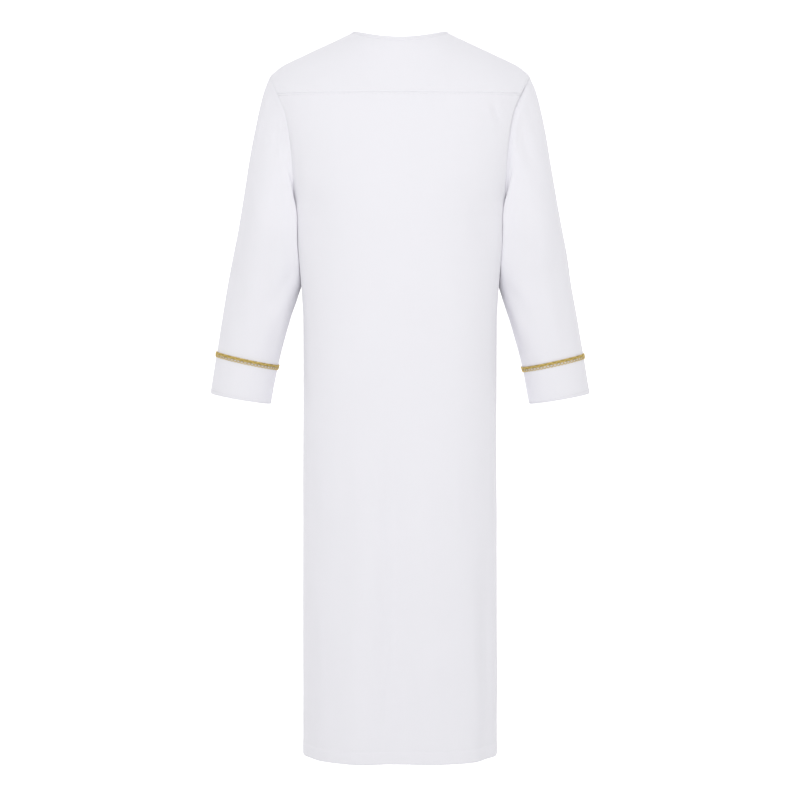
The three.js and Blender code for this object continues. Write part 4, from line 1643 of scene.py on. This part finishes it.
@dataclass(frozen=True)
class NeckBinding:
    """The narrow strip folded over the neck edge, open at the slit.

    Attributes:
        lift: How far its middle lies out of the neck edge.
        sewing_below: How far its row of stitches lies below its middle.
    """

    robe: RobeForm
    half_depth: float = 0.0013
    steps: int = 90
    tuck: float = 0.0006
    lift: float = 0.0002
    cut_width: float = 0.010
    sewing: Stitches = Stitches(pitch=0.0028, grain=0.0021)
    sewing_below: float = 0.0021

    def half(self, side: Side) -> Array:
        """Neck edge and upward slope of one side, from the slit to the middle of the back."""
        turn = np.linspace(0, 1, self.steps)
        parts = []
        for face, share in ((Face.FRONT, turn[:-1]), (Face.BACK, turn[::-1])):
            angle = self.robe.neck_turn(face, share)
            parts.append(np.hstack(self.robe.neck_edge(face, np.full_like(angle, side.value), angle)))
        return np.vstack(parts)

    def build(self, finishes: Finishes) -> None:
        """Makes the binding: a rounded strip along the middle of its own width, from slit to slit."""
        both = np.vstack([self.half(Side.LEFT), self.half(Side.RIGHT)[-2::-1]])
        edge, rise = both[:, :3], both[:, 3:]
        middle = edge - rise * self.robe.binding_width / 2
        along = unit(np.gradient(middle, axis=0))
        out = unit(np.cross(along, rise))
        outward = np.sign(dot(out, middle * [1, 1, 0]))
        out = out * np.where(outward == 0, 1, outward)
        pucker = 1 + 0.06 * soft_noise(lengths_along(middle), 0 * middle[:, 0], 0.009, 31)
        half_width = self.robe.binding_width / 2 + self.tuck
        halves = (half_width, self.half_depth * pucker)
        skin = tube(middle + out * self.lift, rise, out, halves, 16, closed=False)
        skin.uv = skin.uv * [2 * self.cut_width, 1.0]
        obj = mesh_object("neck_strip", skin, finishes.doubled)
        sewn(obj, "neck_binding")
        length = float(lengths_along(middle)[-1])
        log.info("binding cut %.3f x %.3f m", self.cut_width, length)
        line = middle - rise * self.sewing_below + out * (self.half_depth * 0.9)
        sewn(mesh_object("neck_topstitch", self.sewing.row(line, out), finishes.thread))


@dataclass(frozen=True)
class Sleeve:
    """One set-in sleeve with its doubled cuff.

    A field that ends in within or fade is the length or share over which the one before it grows
    or fades.

    Attributes:
        around: Cells round each half.
        cuff_lift: How far the cuff stands out.
        cuff_round: How far the cuff's end rounds in.
        cuff_sewing: How far its row of stitches lies from its end.
        seam: How the sleeve lies at both its ends.
        cuff_seam: How the cuff lies at its upper end.
        contact: Gap left where the sleeve lies against the body.
        pressed_from: Height below which it lies against the body.
        pressed_to: Height above which it does.
        round_for: Distance from the armhole for which it stays oval, before its inner side turns square.
        squared_to: Height at which it is oval again.
        squareness: Power of the cosine and sine where it is square.
        most_moved: Distance from the body beyond which nothing is moved.
        fill: How far the cloth swells beside the body.
        head_from: Share down the head at which all of these begin.
    """

    arm: ArmForm
    side: Side
    wall: float = 0.0008
    cuff_wall: float = 0.0016
    around: int = 58
    head_rows: int = 40
    tube_rows: int = 72
    cuff_rows: int = 26
    waves: float = 0.0010
    cuff_waves: float = 0.0005
    cuff_lift: float = 0.0004
    cuff_round: float = 0.0010
    cuff_sewing: float = 0.0052
    seam: Seam = Seam()
    cuff_seam: Seam = Seam(roll=0.0004, swell=0.0)
    contact: float = 0.0002
    pressed_from: float = -0.255
    press_within: float = 0.040
    pressed_to: float = -0.50
    press_fade: float = 0.06
    round_for: float = 0.006
    square_within: float = 0.060
    squared_to: float = -0.645
    square_fade: float = 0.10
    squareness: float = 0.60
    most_moved: float = 0.022
    fill: float = 0.002
    fill_at: float = -0.38
    head_from: float = 0.06
    head_within: float = 0.5

    # how far behind the seam and how deep under the panel each row of the seam allowance lies
    ALLOWANCE = np.array([(0.0050, 0.0018), (0.0025, 0.0012), (0.0010, 0.0005)])

    # by the length round from the middle of the back, outwards, and the height
    CREASES = {
        Side.LEFT: crease_rows(
            (-0.034, -0.150, -0.060, -0.360, 0.014, 0.0028, -0.006),
            (0.020, -0.120, 0.030, -0.330, 0.020, 0.0010, 0.004),
            (-0.070, -0.430, -0.020, -0.560, 0.013, 0.0022, 0.008),
            (0.060, -0.440, 0.030, -0.600, 0.018, 0.0012, -0.006),
            (-0.050, -0.520, -0.044, -0.640, 0.012, 0.0012),
            (0.130, -0.300, 0.150, -0.520, 0.018, 0.0022, 0.006),
            (-0.170, -0.470, -0.120, -0.560, 0.014, 0.0020, 0.006),
            (0.190, -0.180, 0.200, -0.380, 0.016, 0.0018, -0.006),
        ),
        Side.RIGHT: crease_rows(
            (-0.020, -0.130, -0.046, -0.350, 0.012, 0.0024, -0.004),
            (0.028, -0.110, 0.044, -0.300, 0.016, 0.0018, 0.006),
            (0.004, -0.300, -0.018, -0.470, 0.016, 0.0018, 0.008),
            (0.056, -0.380, 0.038, -0.600, 0.016, 0.0016, -0.008),
            (-0.066, -0.460, -0.030, -0.600, 0.013, 0.0020, 0.006),
            (0.126, -0.280, 0.152, -0.500, 0.017, 0.0022, -0.006),
            (-0.160, -0.450, -0.126, -0.580, 0.014, 0.0022, -0.006),
            (0.186, -0.200, 0.204, -0.400, 0.016, 0.0016, 0.006),
        ),
    }
    SEEDS = {Side.LEFT: 41, Side.RIGHT: 61}  # the first of each sleeve's patterns of waves

    def turned(self, grid: Array) -> Array:
        """The grid on this side of the body."""
        return grid * [self.side.value, 1, 1]

    def with_allowance(self, grid: Array) -> Array:
        """The left sleeve's grid with its seam allowance, rows under the panels beside the armhole."""
        points, normals, onward = self.arm.armhole(self.around)
        back, under = self.ALLOWANCE.T[..., None, None]
        rows = points - onward * back - normals * under
        return np.concatenate([np.concatenate([rows, rows[:, :1]], axis=1), grid])

    def squared(self, grid: Array, squared: Array) -> tuple[Array, Array, Array]:
        """The rows with their inner half turned from an oval to a rounded square.

        The cosine and sine of each row's own axes are raised to a power below 1.

        Args:
            grid: Rows x columns x 3.
            squared: How far each point goes from the oval to the square.

        Returns:
            X, Y, and which points are on the inner half.
        """
        x, y, _ = np.moveaxis(grid, -1, 0)
        quarter = self.around // 2
        low_x, high_x = x[:, 2 * quarter, None], x[:, :1]
        low_y, high_y = y[:, 3 * quarter, None], y[:, quarter, None]
        half_x, half_y = (high_x - low_x) / 2, (high_y - low_y) / 2
        cosine, sine = (x - low_x) / half_x - 1, (y - low_y) / half_y - 1
        power = np.where(cosine < 0, mix(1.0, self.squareness, squared), 1.0)
        x = low_x + half_x * (1 + signed_power(cosine, power))
        y = low_y + half_y * (1 + signed_power(sine, power))
        return x, y, cosine < 0

    def to_body(self, x: Array, y: Array, z: Array) -> Array:
        """Distance along X to the body's section, width times (1 - (Y / depth)^corner)^(1 / corner)."""
        robe = self.arm.robe
        width, back, front, corner = robe.section(z)
        depth = np.where(y > 0, back, front)
        share = (1 - np.minimum(np.abs(y) / depth, 0.99) ** corner) ** (1 / corner)
        return x - width * share - robe.side_moved(share, z) - self.contact

    def pressed(self, grid: Array, head: Array) -> Array:
        """The left sleeve's grid with its inner side laid against the side of the body under the arm.

        The inner half is squared. A point of it that is then less than a set distance from the body
        goes all or part of the way to it. The cloth also swells outwards in Y beside the body, by
        bells of the turn and the height. All grow down the head and fade below.

        Args:
            grid: Rows x columns x 3.
            head: Shares down the head of the first rows.

        Returns:
            The moved grid.
        """
        z = grid[..., 2]
        inner_z = z[:, self.around // 2 * 2, None]
        squared = smooth_step((lengths_along(grid, 0) - self.round_for) / self.square_within)
        squared = squared * smooth_step((inner_z - self.squared_to) / self.square_fade)
        x, y, inner = self.squared(grid, squared)
        grown = np.ones((len(grid), 1))
        grown[: len(head), 0] = smooth_step((head - self.head_from) / self.head_within)
        grown = grown * smooth_step((inner_z - self.pressed_to) / self.press_fade)
        gap = self.to_body(x, y, z)
        near = 1 - smooth_step((gap - 0.3 * self.most_moved) / (0.7 * self.most_moved))
        near = near * smooth_step((self.pressed_from - z) / self.press_within)
        turn = np.linspace(0, 2, grid.shape[1])[None]
        bells = (gauss(turn - 0.78, 0.17) - gauss(turn - 1.22, 0.17)) * gauss(z - self.fill_at, 0.07)
        return np.stack([x - gap * near * grown * inner, y + self.fill * grown * bells, z], -1)

    def build(self, finishes: Finishes) -> None:
        """Makes the sleeve and the cuff."""
        near = near_seam(0.30)
        head = spaced(0.0, 1.0, self.head_rows, near_seam(0.26))
        lower = spaced(0.0, self.arm.cuff_seam, self.tube_rows, (), near)[1:]
        pressed = self.pressed(self.arm.grid(self.around, head, lower), head)
        grid = self.turned(self.with_allowance(pressed))
        skin, down, across, z = self.measured(grid)
        to_foot = down[-1] - down
        down = np.maximum(down - down[len(self.ALLOWANCE)], 0)
        seed = self.SEEDS[self.side]
        calm = smooth_step(down / 0.04) * smooth_step(to_foot / 0.05)
        valleys = [v[self.side].height(down, z, False) for v in (BACK_VALLEYS, FRONT_VALLEYS)]
        relief = (
            creased(self.CREASES[self.side], across, z) * calm
            + np.where(grid[:1, :, 1] > 0, *valleys)
            + self.waves * calm * soft_noise(across, z * 0.45, 0.075, seed)
            + self.seam.height(down, across, seed + 1)
            + self.seam.height(to_foot, across, seed + 2)
        )
        skin = skin.lifted(relief)
        word = self.side.word
        obj = mesh_object(f"sleeve_cloth_{word}", skin.closed(self.wall), finishes.single)
        sewn(obj, f"sleeve_{word}")
        declared(obj, grid, skin)
        self.build_cuff(finishes, seed + 3)

    def measured(self, grid: Array) -> tuple[Skin, Array, Array, Array]:
        """The surface of a grid round the sleeve, and each point's way down it, place round it and height."""
        run = lengths_along(grid, 1)
        back = (grid.shape[1] - 1) // 4
        across = run - run[:, back : back + 1]
        whole = run[:, -1:]
        across = -((across + whole / 2) % whole - whole / 2)
        down = lengths_along(grid, 0)
        skin = grid_skin(grid, np.stack([run, -down], -1), self.side.value)
        return skin, down, across, grid[..., 2]

    def build_cuff(self, finishes: Finishes, seed: int) -> None:
        """Makes the doubled cuff, rounded over at its end, and its row of sewing."""
        near = near_seam(0.30)
        shares = spaced(self.arm.cuff_seam, 1.0, self.cuff_rows, near, near)
        turns = np.linspace(0, 2 * math.pi, 2 * self.around + 1)
        grid = self.turned(self.arm.tube_point(*np.broadcast_arrays(shares[:, None], turns[None])))
        skin, down, across, z = self.measured(grid)
        to_end = down[-1] - down
        relief = (
            self.cuff_lift
            - self.cuff_round * gauss(to_end, 0.0018)
            + self.cuff_waves * soft_noise(across, z, 0.06, seed) * smooth_step(down / 0.02)
            - 0.0003 * gauss(to_end - self.cuff_sewing, 0.0012)
            + self.cuff_seam.height(down, across, seed + 1)
        )
        skin = skin.lifted(relief)
        word = self.side.word
        obj = mesh_object(f"cuff_cloth_{word}", skin.closed(self.cuff_wall), finishes.doubled)
        sewn(obj, f"cuff_{word}")
        declared(obj, grid, skin)
        both = np.concatenate([skin.points, skin.normals()], -1)[skin.number]
        line = where(down, float(down[-1].mean()) - self.cuff_sewing, both)
        row = Stitches().row(line[:, :3] + line[:, 3:] * 0.0001, unit(line[:, 3:]))
        sewn(mesh_object(f"cuff_topstitch_{word}", row, finishes.thread))


@dataclass(frozen=True)
class Braid:
    """The gold braid round a cuff seam: a flat plait of three strands, and a row of open loops below it.

    Attributes:
        hang: Power of the sine by which a loop hangs.
        over_seam: How far the braid's upper edge is over the cuff seam: left, right.
        repeats: How often a strand comes back to the same side.
        strand_half: Half a strand's width and depth.
        lift: Height of the braid's middle over the cloth.
        tones: Brightness of each strand, then of the loops.
    """

    arm: ArmForm
    side: Side
    loops: int = 50
    band: float = 0.0054
    drop: float = 0.0048
    hang: float = 0.6
    over_seam: tuple[float, float] = (0.0060, 0.0020)
    repeats: int = 20
    strand_half: tuple[float, float] = (0.00115, 0.00055)
    cord: float = 0.00072
    lift: float = 0.0017
    tones: tuple[float, ...] = (1.1, 0.4, 0.75, 0.9)

    AROUND = 8  # corners round a strand or a cord

    def on_sleeve(self, round_share: Array, down: Array, up: Array) -> tuple[Array, Array]:
        """Places something on the sleeve by even length round it.

        Args:
            round_share: Share of the way round, by length.
            down: Distance down from the braid's upper edge.
            up: Height over the cloth.

        Returns:
            Points, and unit normals.
        """
        arm = self.arm
        samples = np.linspace(0, 2 * math.pi, 721)
        run = lengths_along(arm.tube_point(np.full_like(samples, arm.cuff_seam), samples))
        turn = np.interp(np.mod(round_share, 1) * run[-1], run, samples)
        length = np.linalg.norm(np.diff(arm.tube_point(np.array([0.0, 1.0]), np.zeros(2)), axis=0))
        share = arm.cuff_seam + (down - self.side.pick(self.over_seam)) / length
        mirror = np.array([self.side.value, 1, 1])
        out = arm.tube_normal(share, turn)
        return (arm.tube_point(share, turn) + out * up[..., None]) * mirror, out * mirror

    def carried(self, s: Array, down: Array, up: Array, half: tuple[float, float]) -> Skin:
        """A closed cord of oval section through places on the sleeve."""
        points, out = self.on_sleeve(s, down, up)
        ahead = ring_way(points)
        across = unit(np.cross(ahead, out))
        return tube(points, across, np.cross(across, ahead), half, self.AROUND)

    def strand(self, number: int, strands: int) -> Skin:
        """One strand of the plait.

        With a = 2 pi (repeats s + number / strands), it lies across by cosine a, and over and under its
        neighbours by the sine of a times one less than the strands, so that it passes each of them
        once on its way across.
        """
        count = self.repeats * 20
        s = np.arange(count) / count
        a = 2 * math.pi * (self.repeats * s + number / strands)
        half = self.band / 2 - self.strand_half[0] * 0.8
        up = self.lift + self.strand_half[1] * np.sin((strands - 1) * (a + math.pi / 2))
        return self.carried(s, self.band / 2 + half * np.cos(a), up, self.strand_half)

    def edge_cord(self) -> Skin:
        """The loops: one cord that runs along by its share and hangs by a power of a sine's size."""
        count = self.loops * 16
        s = np.arange(count) / count
        swing = np.abs(np.sin(math.pi * self.loops * s)) ** self.hang
        down = self.band - 0.0004 + self.drop * swing
        up = self.lift - 0.0003 + 0.0003 * np.cos(2 * math.pi * self.loops * s)
        return self.carried(s, down, up, (self.cord, self.cord))

    def build(self, finishes: Finishes) -> None:
        """Makes the braid, each strand in its own tone."""
        strands = len(self.tones) - 1
        skins = [self.strand(k, strands) for k in range(strands)] + [self.edge_cord()]
        tint = np.concatenate([np.full(len(s.points), tone) for s, tone in zip(skins, self.tones)])
        obj = mesh_object(f"gold_braid_{self.side.word}", joined(skins), finishes.gold, tint)
        sewn(obj, f"braid_{self.side.word}")


# ---- The studio


@dataclass(frozen=True)
class Studio:
    """The pale floor with its curved backdrop, the soft lights and the camera behind the wearer.

    Attributes:
        floor: Height of the floor, below the hem, since the robe hangs free.
        backdrop: Y of the backdrop's wall, beyond where a camera in front of the wearer stands.
        bend: Radius of the bend between the floor and the wall.
    """

    floor: float = -1.75
    backdrop: float = -5.2
    width: float = 28.0
    height: float = 14.0
    bend: float = 1.6
    near_edge: float = 9.0
    lights_at: tuple[float, float, float] = (0.0, 0.0, -0.55)
    surround: float = 0.695
    camera_place: tuple[float, float, float] = (0.0, 3.900, -0.421)
    camera_target: tuple[float, float, float] = (0.0, 0.0, -0.706)
    lens: float = 90.7

    # name, place, width, power: one over the camera, and a wider one behind it
    LIGHTS = (
        ("key_light", (0.0, 2.3, 0.80), 1.6, 12.8),
        ("far_light", (0.2, 4.4, 0.35), 2.4, 28.0),
    )

    def build(self, finishes: Finishes) -> None:
        """Makes the stage, the lights and the camera."""
        self.sweep(finishes.paper)
        self.lights()
        self.camera()

    def sweep(self, paper: bpy.types.Material) -> None:
        """A floor that turns up into a wall on a quarter circle, as one sheet."""
        a = np.linspace(0, math.pi / 2, 24)
        bend_y = self.backdrop + self.bend - self.bend * np.sin(a)
        bend_z = self.floor + self.bend - self.bend * np.cos(a)
        y = np.concatenate([[self.near_edge], bend_y, [self.backdrop]])
        z = np.concatenate([[self.floor], bend_z, [self.height]])
        x = np.linspace(-self.width / 2, self.width / 2, 3)
        grid = np.stack(np.broadcast_arrays(x[None], y[:, None], z[:, None]), -1)
        obj = mesh_object("paper_sweep", grid_skin(grid, grid[..., :2], -1), paper)

    def lights(self) -> None:
        """The soft lights, in an even white surround."""
        for name, place, size, power in self.LIGHTS:
            light = bpy.data.lights.new(name, "AREA")
            light.size, light.energy = size, power
            self.placed(name, light, place, self.lights_at)
        world = bpy.data.worlds.new("white_surround")
        world.use_nodes = True
        sky = world.node_tree.nodes["Background"]
        sky.inputs["Color"].default_value = (1.0, 1.0, 1.0, 1.0)
        sky.inputs["Strength"].default_value = self.surround
        bpy.context.scene.world = world
        bpy.context.scene.view_settings.view_transform = "Standard"

    def camera(self) -> None:
        """The camera, with no depth of field and no shift."""
        camera = bpy.data.cameras.new("studio_camera")
        camera.lens = self.lens
        made = self.placed("studio_camera", camera, self.camera_place, self.camera_target)
        bpy.context.scene.camera = made

    def placed(
        self, name: str, data: bpy.types.ID, place: Sequence[float], target: Sequence[float]
    ) -> bpy.types.Object:
        """Puts a light or a camera at a place, aimed at a target."""
        made = bpy.data.objects.new(name, data)
        bpy.context.scene.collection.objects.link(made)
        made.location = place
        made.rotation_euler = aim(place, target)
        return made


def aim(place: Sequence[float], target: Sequence[float]) -> tuple[float, float, float]:
    """Turns that point something's own -Z from a place at a target, with its Y upwards."""
    x, y, z = (t - p for t, p in zip(target, place))
    return (math.atan2(math.hypot(x, y), -z), 0.0, math.atan2(-x, y))


@dataclass(frozen=True)
class Topstitching:
    """The rows of sewing that show on the body: below the yoke, and on both sides of the slit."""

    below_yoke: float = 0.0058
    beside_slit: float = 0.0050
    past_slit: float = 0.004

    def build(self, back: Panel, front: Panel, robe: RobeForm, finishes: Finishes) -> None:
        """Makes the rows, each on its panel's own surface."""
        line, out = back.line(back.from_top, self.below_yoke)
        sewn(mesh_object("yoke_topstitch", Stitches().row(line, out), finishes.thread))
        rows = front.z[:, front.z.shape[1] // 2] > robe.slit_bottom - self.past_slit
        skins = []
        for sign in (1, -1):
            beside, lean = front.line(front.across * sign, self.beside_slit, by_columns=False)
            skins.append(Stitches().row(beside[rows], lean[rows]))
        sewn(mesh_object("slit_topstitch", joined(skins), finishes.thread))


def main() -> None:
    """Loads the frame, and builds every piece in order."""
    logging.basicConfig(level=logging.INFO, format="%(name)s: %(message)s")
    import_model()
    finishes = Finishes.made()
    Studio().build(finishes)
    robe = RobeForm()
    arm = ArmForm(robe)
    BackYoke(robe).build(finishes)
    back = BackPanel(robe).build(finishes)
    front = FrontPanel(robe).build(finishes)
    Topstitching().build(back, front, robe, finishes)
    NeckBinding(robe).build(finishes)
    for side in Side:
        Sleeve(arm, side).build(finishes)
        Braid(arm, side).build(finishes)


if __name__ == "__main__":
    main()
